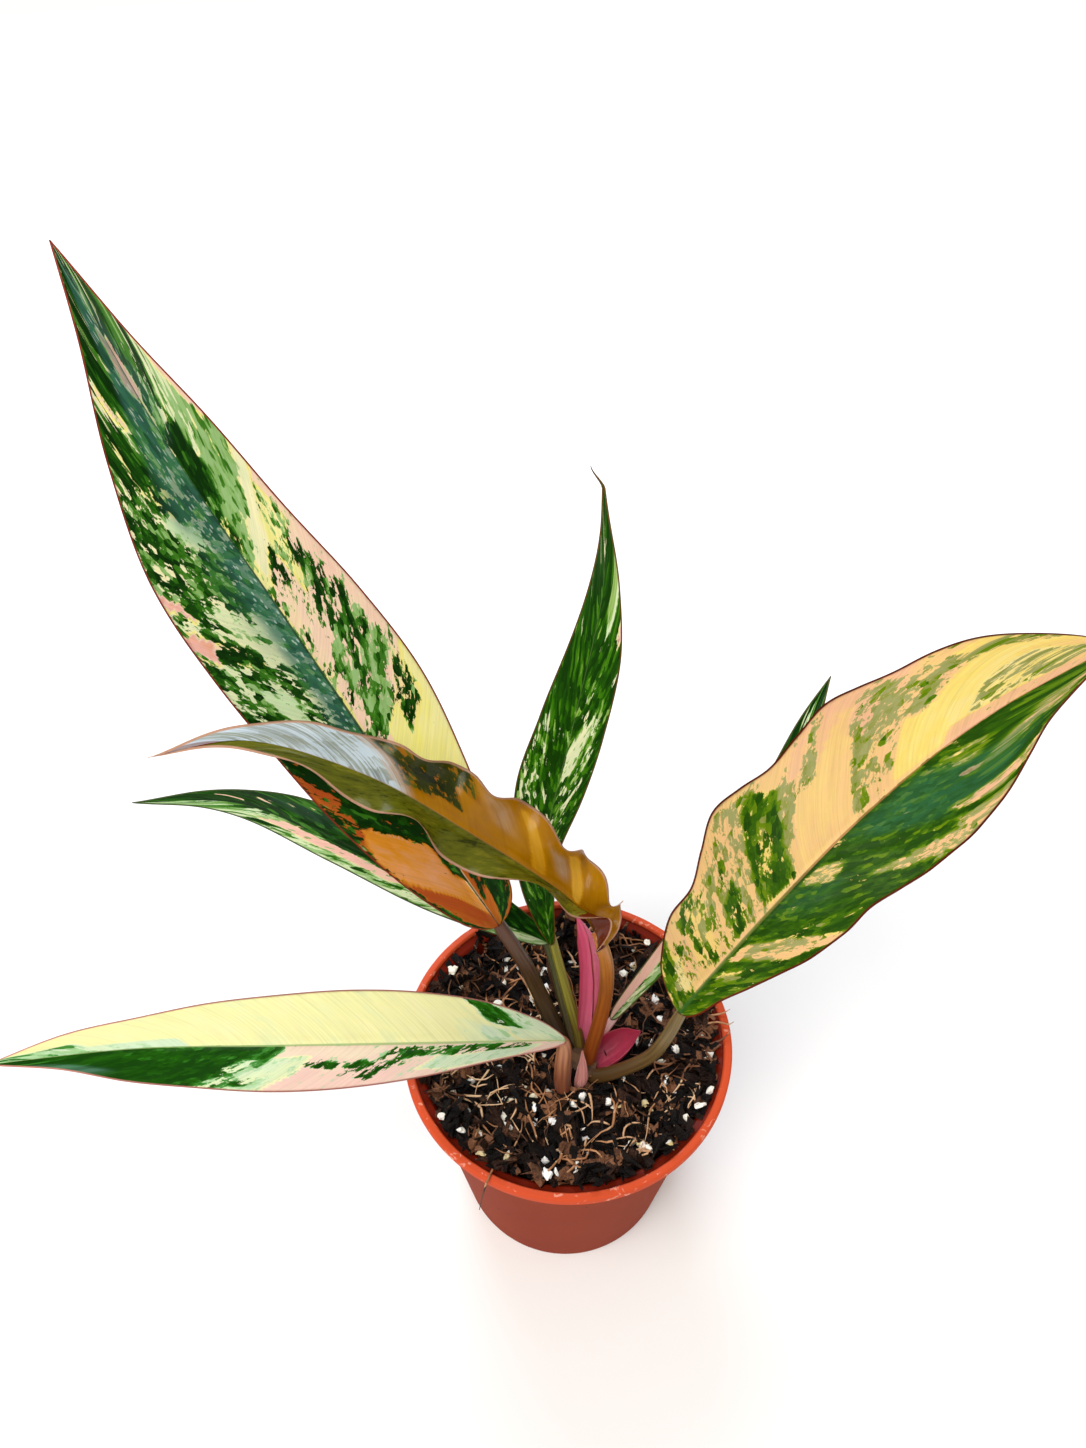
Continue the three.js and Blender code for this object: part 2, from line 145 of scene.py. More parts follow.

# %% [markdown]
# Marbling runs in streaks along the lateral veins. Each mark is painted as a soft box
# between two veins: from vein, to vein, from side, to side, then how pale it is (from 1 up nearly
# all pale, from -1 down nearly all green), the hue of its pale part (0 mint, 0.2 cream, 0.4 yellow,
# 0.6 peach, 0.8 pink, 1 amber, 1.25 rust) and the depth of its green part (0 sage, 1 darkest).
# Later marks lie over earlier ones. A box can also give the strength of a painted reflection of the
# bluish sky there, which stands in for the gloss of the upper side, and grid says how many rows and
# columns of faces the blade gets.
#
# The tall leaf is dark green to the left of its rib, with a painted bluish reflection of the sky
# along it, and cream, peach and pink to the right. At its base, in the shade of the leaf in front,
# both halves are painted amber, for light through that leaf, framed by brown-green painted shade.

# %% Tall leaf
LEAVES["tall_left"] = {
    "spine": [(-24, 12, 152), (-53, 27, 203), (-83, 45, 256), (-113, 65, 306), (-141, 96, 348)],
    "face": (0.35, -0.75, 0.55),
    "left": [6, 16, 22, 25.5, 27.5, 25.5, 17, 7.5, 0.6],
    "right": [8, 15.5, 22, 25.5, 23, 18, 13.5, 6.5, 0.6],
    "lift": {"left": [16, 12, 10, 12, 14], "right": [16, 12, 10, 12, 14]},
    "wave": {"left": (2.5, 0.1, [0, 7, 3]), "right": (3.2, 0.4, [0, 6, 3])},
    "sweep": (0.14, 0),
    "marks": [
        (-1, 2, -1, 0, -0.5, 0.17, 0.66),
        (-1, 2, 0, 1, 0.2, 0.3, 0.5),
        # the base, in the shade of the leaf in front: painted amber for light through that leaf,
        # framed by brown-green painted shade
        (-0.3, 0.15, -1, -0.04, 1.3, 0.96, 0.9),
        (-0.3, 0.02, -1, -0.04, 1.3, 1.25, 0.9),
        (0.15, 0.3, -1, -0.04, -1.0, 1.2, 1.0),
        (0.13, 0.22, -1, -0.8, 0.1, 1.2, 1.0),
        (-0.12, 0.15, -1, -0.9, -0.55, 1.2, 1.0),
        (0.09, 0.2, -0.18, 0, -0.9, 1.2, 1.0),
        (-0.3, 0.2, 0.04, 1, 1.2, 1.15, 0.9),
        (-0.08, 0.03, 0.35, 1, -0.9, 1.2, 1.0),
        (0.03, 0.09, 0.1, 0.45, -0.5, 1.2, 1.0),
        # left half, towards the tip
        (0.3, 0.5, -1, -0.15, -0.3, 0.1, 0.7),
        (0.34, 0.38, -0.7, -0.42, 0.5, 0.05, 0.4),
        (0.395, 0.435, -0.98, -0.76, 0.9, 0.82, 0.5),
        (0.46, 0.485, -1, -0.84, 0.6, 0.8, 0.5),
        (0.44, 0.5, -0.6, -0.16, 0.4, 0.12, 0.3),
        (0.41, 0.44, -0.8, -0.45, -0.9, 0.5, 0.9),
        (0.585, 0.62, -0.55, -0.25, 0.5, 0.02, 0.3),
        (0.62, 0.68, -1, -0.3, -0.7, 0.3, 0.85),
        (0.705, 0.72, -0.9, -0.5, 0.9, 0.64, 0.4),
        (0.725, 2, -1, -0.1, -0.9, 0.2, 0.85),
        # right half
        (0.08, 0.33, 0.25, 1, 1.5, 0.32, 0.5),
        (0.28, 0.37, 0.03, 0.28, -0.1, 0.62, 0.9),
        (0.33, 0.42, 0.04, 0.34, 0.3, 0.62, 0.7),
        (0.24, 0.3, 0.5, 0.88, -0.3, 0.5, 1.0),
        (0.3, 0.47, 0.22, 0.88, -0.75, 0.6, 0.3),
        (0.35, 0.46, 0.4, 0.84, -0.4, 0.6, 0.72),
        (0.42, 0.54, 0.02, 0.4, 0.45, 0.6, 0.6),
        (0.515, 0.555, 0.14, 0.42, -0.4, 0.6, 1.0),
        (0.465, 0.5, 0.52, 0.86, -0.35, 0.6, 1.0),
        (0.28, 0.56, 0.84, 1, 0.9, 0.62, 0.3),
        (0.55, 0.59, 0.12, 1, 1.1, 0.18, 0.2),
        (0.578, 0.668, 0.02, 0.92, -1.0, 0.3, 0.12),
        (0.61, 0.66, 0.0, 0.12, -0.6, 0.3, 0.8),
        (0.645, 0.76, 0.02, 0.4, -1.2, 0.3, 1.0),
        (0.665, 0.74, 0.4, 0.95, -0.35, 0.1, 0.3),
        (0.58, 0.72, 0.93, 1, 0.8, 0.62, 0.2),
        (0.74, 2, 0.05, 1, -0.6, 0.12, 0.7),
        (0.8, 0.87, -0.15, 0.12, 1.2, 0.8, 0.5),
    ],
    # painted reflection of the bluish sky, along the rib and towards the tip
    "sky_reflection": [
        (0.28, 0.62, -0.25, 0, 0.85), (0.6, 0.95, -0.42, 0, 0.7), (0.44, 0.6, -0.4, -0.2, 0.3),
        (0.75, 0.95, 0, 0.3, 0.4),
    ],
    "grid": (190, 64),
}

# %% [markdown]
# The low leaf arches out under the tall one. Its upper half is plain dark green, and its lower half
# is mint with a pink streak.

# %% Low leaf
LEAVES["low_left"] = {
    "spine": [(-7, 23, 125), (-46, 31, 142), (-82, 44, 155), (-119, 57, 163), (-160, 61, 159)],
    "face": (0, -0.5, 0.85),
    "left": [2, 4.6, 6, 6.5, 6.5, 6, 4.6, 2, 0.6],
    "right": [3, 9, 13.3, 13.6, 12.3, 9.4, 5.2, 3, 0.6],
    "lift": {"left": [16, 12, 10, 12], "right": [16, 12, 10, 12]},
    "wave": {"left": (2, 0, [0, 5, 0]), "right": (2, 0.3, [0, 6, 0])},
    "sweep": (0.1, 0.1),
    "marks": [
        (-1, 2, 0, 1, -1.3, 0.5, 0.95),
        (-1, 2, -1, 0, -0.1, 0.05, 0.36),
        (0.3, 0.62, -0.5, -0.1, 0.5, 0.72, 0.4),
        (0.3, 0.66, -0.12, 0, -0.9, 0.5, 0.6),
        (0.55, 0.6, -0.9, -0.6, -0.9, 0.1, 0.8),
        (0.66, 1, -1, 0, -0.2, 0.0, 0.45),
        (0.6, 0.63, 0.4, 0.6, 0.5, 0.7, 0.8),
        (0.69, 0.71, 0.3, 0.6, 0.8, 0.75, 0.9),
    ],
    # a faint painted reflection of the sky
    "sky_reflection": [(0.35, 0.6, 0.35, 0.7, 0.15)],
    "grid": (150, 44),
}

# %% [markdown]
# The upright leaf is green nearly all over, with a few mint flecks, and its tip is a thin hook.

# %% Upright leaf
LEAVES["upright"] = {
    "spine": [(-6, 19, 130), (-8, 29, 172), (1, 48, 213), (10, 71, 250), (10, 97, 277)],
    "face": (-0.3, -0.8, 0.45),
    "left": [1.5, 7, 10.5, 13.5, 11.2, 7.8, 4.7, 1.6, 0.5],
    "right": [1.5, 3, 5, 9.6, 11.1, 10.4, 5.8, 2.2, 0.5],
    "lift": {"left": [25, 14, 10, 12], "right": [25, 14, 10, 12]},
    "wave": {"left": (2, 0.2, [0, 5, 0]), "right": (2, 0.5, [0, 5, 0])},
    "sweep": (0.1, 0.1),
    "hook": (-4, 0, 1.5),
    "marks": [
        (-1, 2, -1, 1, -1.1, 0.12, 0.85),
        (0.15, 0.42, -0.95, -0.5, -0.42, 0.12, 0.7),
        (0.25, 0.34, -0.55, -0.2, -0.5, 0.12, 0.8),
        (0.2, 0.38, 0.1, 0.75, -0.48, 0.1, 0.7),
        (0.38, 0.46, 0.04, 0.42, 0.3, 0.1, 0.4),
        (0.4, 0.45, 0.4, 0.8, -0.1, 0.1, 0.4),
        (0.34, 0.4, 0.5, 0.85, -0.2, 0.1, 0.5),
        (0.5, 0.53, 0.2, 0.5, -0.2, 0.1, 0.5),
        (0.6, 0.66, 0.4, 0.98, 0.2, 0.05, 0.3),
        (0.51, 0.535, 0.86, 1, 0.4, 0.8, 0.6),
    ],
    "sky_reflection": [],
    "grid": (150, 44),
}

# %% [markdown]
# The newest leaf has no marbling yet. It is amber on one half and olive on the other, and its
# margins are ruffled in deep waves. Its glossy upper side has painted highlights across a few of the
# ruffles, and a painted reflection of the sky towards the tip.

# %% Caramel leaf
LEAVES["caramel"] = {
    "spine": [
        (10, -13, 177), (-3, -6, 194), (-32, 2, 215), (-60, 10, 230), (-94, 17, 237),
        (-125, 18, 229),
    ],
    "face": (0.1, -0.5, 0.85),
    "left": [8, 10, 10.5, 10, 10.5, 10.5, 9, 6, 3.2, 1.2, 0.4],
    "right": [8, 12.5, 13.5, 16, 16, 14.5, 11.5, 9.5, 5, 2.6, 0.4],
    "lift": {
        "left": [40, 110, 75, 38, 30, 30, 30, 28, 25, 22, 20],
        "right": [30, 30, 30, 28, 25, 20],
    },
    "wave": {
        "left": (4.65, 0.96, [0, 40, 48, 40, 15, 0]),
        "right": (7.7, 0.17, [45, 58, 34, 30, 12, 5, 0]),
    },
    "sweep": (0.08, 0.05),
    "base_round": 0.11,
    "marks": [
        (-1, 2, 0, 1, 1.6, 0.38, 0.5),
        (-1, 2, -1, 0, -1.7, 0.5, 0.46),
        (0.34, 0.4, 0.62, 1, -0.1, 0.5, 0.75),
        (0.39, 0.47, 0.28, 0.97, -0.5, 0.5, 0.85),
        (0.46, 0.52, 0.2, 1, -0.35, 0.5, 0.8),
        # painted highlights: two pale golden streaks across the amber half, where ruffles catch the
        # light
        (0.15, 0.175, 0.1, 0.9, 1.6, 0.05, 0.5),
        (0.24, 0.27, 0.1, 0.8, 1.6, 0.15, 0.5),
        (-0.3, 0.1, -1, 0, 1.4, 1.1, 0.3),
        (0.1, 0.16, -1, -0.3, -0.5, 1.0, 0.4),
        (0.54, 2, 0, 1, -1.4, 0.5, 0.5),
        (0.84, 2, -1, 1, 1.0, 1.0, 0.6),
    ],
    # painted reflection of the sky: strong towards the tip, and thin streaks on two ruffles
    "sky_reflection": [
        (0.52, 0.86, 0.0, 1, 1.0), (0.86, 0.94, 0.0, 1, 0.5), (0.19, 0.205, 0.3, 0.8, 0.45),
        (0.3, 0.32, 0.4, 0.9, 0.25),
    ],
    "grid": (200, 60),
}

# %% [markdown]
# The broad leaf is the showpiece: yellow and peach patches on its upper half, and green with small
# pale spots on its lower half.

# %% Broad leaf
LEAVES["broad_right"] = {
    "spine": [(37, -11, 134), (66, 9, 164), (99, 33, 187), (143, 64, 200), (210, 112, 193)],
    "face": (-0.25, -0.5, 0.83),
    "left": [8, 17, 23, 24, 30, 36, 34.5, 32.5, 34, 36, 33.5, 30.5, 28.5, 25, 19, 11, 0.6],
    "right": [5, 7, 11.5, 16, 20.5, 22.5, 22, 24.5, 27.5, 28, 26.5, 24, 19, 13, 8.5, 4.5, 0.6],
    "lift": {"left": [16, 10, 8, 10], "right": [14, 10, 8, 10]},
    "wave": {"left": (4, 0, [8, 14, 10, 5, 0]), "right": (4, 0.13, [4, 12, 12, 8, 0])},
    "sweep": (0.02, 0.3),
    "right_sweep": (0.03, 0.4),
    "marks": [
        (-1, 2, -1, 0, 0.9, 0.6, 0.3),
        (-1, 2, 0, 1, -1.3, 0.4, 0.86),
        # left half, from the base to the tip
        (-0.3, 0.05, -1, 0, -0.6, 0.35, 0.6),
        (-0.1, 0.05, -1, -0.7, -0.6, 0.4, 0.6),
        (0.025, 0.055, -0.65, -0.2, 0.3, 0.3, 0.4),
        (0.055, 0.095, -0.7, -0.2, 0.35, 0.66, 0.7),
        (0.085, 0.13, -0.95, -0.08, -0.5, 0.5, 0.75),
        (0.11, 0.135, -0.8, -0.15, 0.2, 0.45, 0.4),
        (0.135, 0.18, -0.9, -0.06, -0.1, 0.55, 0.5),
        (0.13, 0.215, -0.95, -0.45, -0.2, 0.6, 0.4),
        (0.18, 0.23, -0.48, -0.08, -0.7, 0.4, 0.9),
        (0.2, 0.26, -0.9, -0.06, 0.05, 0.6, 0.14),
        (0.25, 0.325, -0.82, -0.05, -0.85, 0.4, 0.76),
        (0.275, 0.29, -0.6, -0.3, 0.0, 0.4, 0.6),
        (0.318, 0.356, -0.94, -0.3, -0.8, 0.6, 0.1),
        (0.35, 0.47, -1, 0, 1.5, 0.56, 0.1),
        (0.33, 0.5, -1, -0.75, 1.2, 0.7, 0.1),
        (0.353, 0.38, -0.9, -0.66, -0.6, 0.6, 0.12),
        (0.462, 0.508, -0.68, -0.05, -0.75, 0.55, 0.22),
        (0.5, 0.56, -0.7, -0.15, 0.0, 0.6, 0.2),
        (0.44, 0.53, -0.94, -0.55, -0.4, 0.66, 0.12),
        (0.56, 0.7, -1, -0.05, 1.7, 0.38, 0.3),
        (0.55, 0.61, -0.87, -0.48, -0.6, 0.6, 0.13),
        (0.58, 0.66, -1, -0.78, -0.4, 0.5, 0.35),
        (0.68, 2, -1, -0.6, 1.2, 0.5, 0.3),
        (0.7, 0.86, -0.66, -0.12, -0.2, 0.3, 0.15),
        (0.66, 2, -0.14, 0, 1.0, 0.7, 0.3),
        # right half
        (-0.1, 0.09, 0.05, 1, -1.2, 0.3, 0.64),
        (0.085, 0.11, 0.15, 0.5, 0.1, 0.4, 0.5),
        (0.128, 0.175, 0.1, 0.9, 0.9, 0.62, 0.15),
        (0.138, 0.17, 0.22, 0.82, -0.4, 0.6, 0.08),
        (0.31, 0.365, 0.06, 0.32, 0.0, 0.55, 0.15),
        (0.3, 0.41, 0.72, 1, -0.2, 0.62, 0.1),
        (0.545, 0.565, 0.38, 0.54, 1.4, 0.9, 0.4),
        (0.44, 0.47, 0.7, 1, 0.5, 0.72, 0.3),
        (0.55, 0.7, 0.45, 0.8, -0.3, 0.64, 0.3),
        (0.58, 0.66, 0.1, 0.35, -0.55, 0.4, 0.5),
    ],
    # painted reflection of the sky on the green lower half
    "sky_reflection": [(0.24, 0.32, 0.05, 0.5, 0.3), (0.43, 0.6, 0.06, 0.7, 0.6)],
    "grid": (200, 72),
}

# %% [markdown]
# The narrow leaf stands behind the broad one: pink at its foot and dark green above.

# %% Narrow leaf
LEAVES["narrow_right"] = {
    "spine": [(16, 4, 104), (33, 14, 127), (54, 32, 150), (77, 59, 172), (98, 97, 189)],
    "face": (-0.3, -0.4, 0.85),
    "left": [1.5, 3, 3.6, 4.2, 5, 5.8, 6, 4.8, 0.6],
    "right": [1.5, 3, 4.2, 4.5, 5, 5.5, 5.5, 3.8, 0.6],
    "lift": {"left": [25, 20, 15, 15], "right": [25, 20, 15, 15]},
    "wave": {"left": (2, 0, [0, 4, 0]), "right": (2, 0.5, [0, 4, 0])},
    "sweep": (0.1, 0.1),
    "marks": [
        (-1, 2, -1, 1, -1, 0.1, 0.85),
        (-1, 0.4, -1, 0.1, 1.4, 0.72, 0.3),
        (-1, 0.4, 0.1, 1, -0.3, 0.1, 0.35),
        (0.8, 0.85, -0.5, 0.1, 0.6, 0.0, 0.4),
    ],
    "sky_reflection": [],
    "grid": (120, 32),
}

# %% [markdown]
# The level leaf is nearly all cream on its upper half. On its lower half green runs out from the
# rib, over pink.

# %% Level leaf
LEAVES["level_left"] = {
    "spine": [(-1, -13, 119), (-49, -19, 128), (-96, -22, 132), (-145, -22, 130), (-197, -23, 121)],
    "face": (0, -0.25, 0.95),
    "left": [1.5, 6, 11, 14, 15, 13.7, 10.8, 4.5, 0.6],
    "right": [3, 12.5, 16.7, 17.8, 16.6, 14.2, 10.2, 7, 0.6],
    "lift": {"left": [12, 8, 6, 8], "right": [12, 8, 6, 8]},
    "wave": {"left": (2, 0, [0, 3, 3]), "right": (1.5, 0.4, [0, 3, 0])},
    "sweep": (0.08, 0.05),
    "marks": [
        (-1, 2, 0, 1, 1.6, 0.2, 0.3),
        (-1, 2, -1, 0, 0.6, 0.7, 0.4),
        # right half
        (-0.1, 0.09, 0.1, 1, 0.5, 0.02, 0.3),
        (0.04, 0.1, 0.5, 1, -1, 0.0, 0.8),
        (0.07, 0.17, 0.02, 0.5, 1.0, 0.15, 0.2),
        (0.08, 0.13, 0.05, 0.4, 0.3, 0.0, 0.2),
        (0.66, 0.82, 0.0, 0.22, 0.5, 0.0, 0.2),
        (0.8, 1, 0.0, 0.5, -0.3, 0.0, 0.4),
        (0.88, 1.1, 0.3, 1, -0.6, 0.0, 0.6),
        # left half
        (0.02, 0.2, -0.85, -0.25, 0.35, 0.0, 0.05),
        (0.04, 0.3, -0.4, -0.08, -0.3, 0.6, 0.8),
        (0.2, 0.35, -1, -0.6, 0.8, 0.75, 0.3),
        (0.26, 0.32, -0.75, -0.4, -0.35, 0.7, 0.85),
        (0.31, 0.5, -0.3, -0.05, 1.0, 0.6, 0.4),
        (0.3, 0.45, -0.55, -0.38, -0.35, 0.62, 0.9),
        (0.33, 0.42, -1, -0.55, 0.8, 0.75, 0.3),
        (0.42, 0.53, -1, -0.25, 0.3, 0.05, 0.1),
        (0.45, 0.52, -0.9, -0.7, -0.3, 0.05, 0.8),
        (0.5, 1.1, -1, 0, -1.5, 0.05, 0.9),
        (0.49, 0.54, -1, -0.3, -0.2, 0.05, 0.5),
    ],
    # a painted reflection of the sky near the margin of the lower half
    "sky_reflection": [(0.7, 0.82, -1, -0.7, 0.5)],
    "grid": (170, 48),
}

# %% [markdown]
# The length of a spine turns shares of the length into millimetres.

# %% Lengths of the blades
for leaf in LEAVES.values():
    leaf["spine"] = [Vector(p) for p in leaf["spine"]]
    leaf["length"] = sum((b - a).length for a, b in zip(leaf["spine"], leaf["spine"][1:]))
print("blade lengths in mm:", {name: round(leaf["length"]) for name, leaf in LEAVES.items()})

# %% [markdown]
# ## From grid to blade
# The blade is a flat grid that is bent by the model's own rule, with many more rows and columns than
# the solid has. The grid's x is the side, -1 at the left margin and 1 at the right, and its y is the
# share of the length. The cross-section at a share of the length is worked out once, and remembered
# for all the points of that row.

# %% Cross-sections
BASE_ROUND = 0.05  # share of the length over which the base rounds off, unless a leaf has its own
RIB_HALF_WIDTH = 0.5  # at the base; at the tip 0.3 of it is left
TIP_CUT = 0.5  # taken off the half-widths at the very tip, to bring it to a point


@lru_cache(maxsize=None)
def section(name, t):
    leaf = LEAVES[name]
    point = along(leaf["spine"], t)
    forward = (along(leaf["spine"], t + 1e-4) - along(leaf["spine"], t - 1e-4)).normalized()
    face = Vector(leaf["face"])
    up = (face - forward * face.dot(forward)).normalized()
    base = math.sqrt(1 - (1 - min(1, t / leaf.get("base_round", BASE_ROUND))) ** 2)
    halves = {}
    for half in ("left", "right"):
        count, start, depth = leaf["wave"][half]
        turn = math.sin(2 * math.pi * (count * t + start))
        halves[half] = (
            math.radians(along(leaf["lift"][half], t)) * base,
            math.radians(along(depth, t) * turn) * base + 1e-6,
            RIB_HALF_WIDTH * (1 - 0.7 * t) + max(along(leaf[half], t) - TIP_CUT * t**8, 0) * base,
        )
    return point, forward, up, base, halves


# %% [markdown]
# Relief and colour both follow the lateral veins. So each point needs to know which vein it is on,
# and how far it is from the next one, measured square across them. That distance is less than the
# distance along the rib wherever the veins sweep forward.

# %% Lateral veins
VEIN_SPACING = 6.5  # mm between lateral veins
TABLE_FROM, TABLE_TO, PER_LENGTH = -0.4, 1.1, 50  # the table's vein shares, and steps per length


def sweep_at(name, t, side):
    near, more = LEAVES[name].get("right_sweep" if side > 0 else "sweep", LEAVES[name]["sweep"])
    return near + more * t


def vein_of(name, t, side):
    """The share of the length at which the lateral vein through a point leaves the rib."""
    return t - sweep_at(name, t, side) * abs(side) ** 1.15


def uprightness(name, t, side):
    """1 where a vein leaves the rib at a right angle, and less the more it sweeps forward."""
    width = along(LEAVES[name]["right" if side > 0 else "left"], t + 0.08)
    forward = sweep_at(name, t, side) * LEAVES[name]["length"]
    return max(0.35, width / math.hypot(width, forward))


@lru_cache(maxsize=None)
def vein_table(name):
    """Distances in mm, square across the veins, at evenly spaced vein shares."""
    total, table = 0.0, []
    for step in range(round((TABLE_TO - TABLE_FROM) * PER_LENGTH) + 1):
        table.append(total)
        t = step / PER_LENGTH + TABLE_FROM
        both = uprightness(name, t, -1) + uprightness(name, t, 1)
        total += both / 2 * LEAVES[name]["length"] / PER_LENGTH
    return table


def across_veins(name, vein):
    return along(vein_table(name), (vein - TABLE_FROM) / (TABLE_TO - TABLE_FROM))


# %% [markdown]
# The skin has a fine relief of its own. Above, a low ridge runs along the rib between two grooves.
# Below, the rib stands out as a rounded keel. Between the lateral veins the blade is quilted: it
# swells a little, and sinks in at each vein. It is modelled rather than left to a bump, so that it
# also shows in the mesh.

# %% Points of the skin
HALF_THICKNESS = 0.4
KEEL_DEPTH, KEEL_WIDTH = 1.4, 1.7  # the rib below
RIDGE_HEIGHT, RIDGE_WIDTH = 0.5, 0.8  # the rib above
GROOVE_DEPTH, GROOVE_AT, GROOVE_WIDTH = 0.3, 1.9, 0.9  # on both sides of it
QUILT_DEPTH = 0.22


def blade_point(name, t, side, under):
    """A point of the blade's skin, in mm, with its distance from the rib and its width there."""
    point, forward, up, base, halves = section(name, t)
    outward = forward.cross(up) * (1 if side > 0 else -1)
    lift, bend, width = halves["right" if side > 0 else "left"]
    share = abs(side)
    angle = lift + bend * share
    spot = point + outward * (width * (math.sin(angle) - math.sin(lift)) / bend)
    spot = spot + up * (width * (math.cos(lift) - math.cos(angle)) / bend)
    spot = spot + Vector(LEAVES[name].get("hook", (0, 0, 0))) * smooth(0.96, 1.0, t)
    tilt = angle * smooth(0, 0.06, share)
    normal = up * math.cos(tilt) - outward * math.sin(tilt)
    reach = width * share
    fade = (1 - t) * (0.4 + 0.6 * base)
    thin = HALF_THICKNESS * (1 - 0.55 * share**6)
    if under:
        spot = spot - normal * (thin + KEEL_DEPTH * fade * hump(reach, KEEL_WIDTH))
    else:
        ridge = RIDGE_HEIGHT * fade * hump(reach, RIDGE_WIDTH)
        ridge -= GROOVE_DEPTH * fade * hump(reach - GROOVE_AT, GROOVE_WIDTH)
        spot = spot + normal * (thin + ridge)
    crease = abs(math.sin(math.pi * across_veins(name, vein_of(name, t, side)) / VEIN_SPACING))
    swell = QUILT_DEPTH * (crease**0.6 - 0.6) * smooth(0.5, 3, reach) * smooth(1, 0.8, share)
    return spot + normal * (swell * smooth(0, 6, width)), reach, width


# %% [markdown]
# ## Painting the marbling
# The marks are stored on the points of the mesh, not in an image. They are soft on purpose: the
# material breaks their edges up with streaks along the veins, as in a real chimera, where the pale
# and the green cells meet in ragged, feathered lines. A little noise makes the boxes themselves
# wander, so that no edge of them stays straight.

# %% Marks on points
SOFT_VEIN, SOFT_SIDE = 0.011, 0.05  # half a mark's soft edge, as shares of the length and the width
WANDER = 9  # mm across the veins from one bend of a mark's edge to the next


def box_weight(vein, side, box, softer=1):
    """1 inside a box, 0 outside it, with soft edges except along the rib and the margins."""
    from_vein, to_vein, from_side, to_side = box
    near_vein = from_vein - 0.05 < vein < to_vein + 0.05
    if not (near_vein and from_side - 0.2 < side < to_side + 0.2):
        return 0.0
    a, b = SOFT_VEIN * softer, SOFT_SIDE * softer
    weight = smooth(from_vein - a, from_vein + a, vein) * smooth(to_vein + a, to_vein - a, vein)
    low, high = float(side >= from_side), float(side <= to_side)
    if from_side not in (-1, 0):
        low = smooth(from_side - b, from_side + b, side)
    if to_side not in (0, 1):
        high = smooth(to_side + b, to_side - b, side)
    return weight * low * high


def paint(name, t, side):
    """How pale a point is, the hue of its pale part, the depth of its green part, and the strength of
    the painted reflection of the sky there.
    """
    vein = vein_of(name, t, side)
    spot = Vector((across_veins(name, vein) / WANDER, 3 * side, len(name)))
    vein += 0.012 * noise.noise(spot)
    side = min(max(side * (1 + 0.22 * noise.noise(spot + Vector((0, 0, 40)))), -1), 1)
    pale, hue, depth, sky_reflection = 0.0, 0.2, 0.7, 0.0
    for *box, mark_pale, mark_hue, mark_depth in LEAVES[name]["marks"]:
        weight = box_weight(vein, side, box)
        pale += (mark_pale - pale) * weight
        hue += (mark_hue - hue) * smooth(0.35, 0.65, weight)
        depth += (mark_depth - depth) * weight
    for *box, strength in LEAVES[name]["sky_reflection"]:
        sky_reflection = max(sky_reflection, strength * box_weight(vein, side, box, softer=2))
    return pale, hue, depth, sky_reflection


# %% [markdown]
# ## Sheets and finished pieces
# Leaves and sheaths are thin sheets with two sides. Solidify could thicken one grid, but the upper
# and the lower side of a leaf differ, so the sheet is two grids joined round the edge, and each
# point can be told which side it is on. A finished piece has its normals turned outwards, and rides
# on the plant's one body.

# %% Thin sheets and finished pieces
def thin_sheet(rows, columns):
    """A flat closed sheet from -1 to 1, and the set of its lower points."""
    bm = bmesh.new()
    bmesh.ops.create_grid(bm, x_segments=columns, y_segments=rows, size=1)
    twin = bmesh.ops.duplicate(bm, geom=bm.verts[:] + bm.edges[:] + bm.faces[:])["geom"]
    lower = {g for g in twin if isinstance(g, bmesh.types.BMVert)}
    bmesh.ops.reverse_faces(bm, faces=[g for g in twin if isinstance(g, bmesh.types.BMFace)])
    bmesh.ops.translate(bm, verts=list(lower), vec=(0, 0, -0.01))
    bmesh.ops.bridge_loops(bm, edges=[e for e in bm.edges if e.is_boundary])
    return bm, lower


def write_mesh(bm, name, material, smooth_faces=True):
    """Turns a bmesh in metres into a finished piece that rides on the plant's one body."""
    bmesh.ops.recalc_face_normals(bm, faces=bm.faces)
    for face in bm.faces:
        face.smooth = smooth_faces
    mesh = bpy.data.meshes.new(name)
    bm.to_mesh(mesh)
    bm.free()
    mesh.materials.append(material)
    piece = bpy.data.objects.new(name, mesh)
    bpy.context.scene.collection.objects.link(piece)
    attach(piece, "root")
    return piece


# %% [markdown]
# A blade's points get three attributes for the material. place is where the point is among the
# veins, in metres, and its share of the length. tone is what is painted there. edge is the distance
# from the margin, the strength of the painted sky reflection, and which side of the sheet it is.

# %% One blade
def make_blade(name, material):
    bm, lower = thin_sheet(*LEAVES[name]["grid"])
    layers = bm.verts.layers.float_vector
    place, tone, edge = [layers.new(label) for label in ("place", "tone", "edge")]
    for vert in bm.verts:
        t = (vert.co.y + 1) / 2
        side = 0.6 * vert.co.x + 0.4 * vert.co.x**3  # columns stand closer together near the rib
        under = vert in lower
        spot, reach, width = blade_point(name, t, side, under)
        pale, hue, depth, sky_reflection = paint(name, t, side)
        vert.co = spot * MM
        way = math.copysign(reach / uprightness(name, t, side), side)
        vert[place] = (way * MM, across_veins(name, vein_of(name, t, side)) * MM, t)
        vert[tone] = (pale, hue, depth)
        vert[edge] = ((width - reach) * MM, sky_reflection, float(under))
    piece = write_mesh(bm, "leaf_" + name, material)
    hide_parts("blade_" + name)
    return piece


# %% [markdown]
# ## Living leaf: cuticle over marbled cells
# A leaf's skin is a thin waxy cuticle, so it is a dielectric with an IOR near 1.45 and a soft gloss,
# and the colour lies below it. The graph follows the leaf's own order, with one function for each
# layer. Its patterns are laid over the place attribute, which holds real distances along and across
# the veins, so every size is a real one in metres: patches of about 7 mm by 2.6 mm, cells of 2 mm
# by 1 mm, and lines half a millimetre apart.

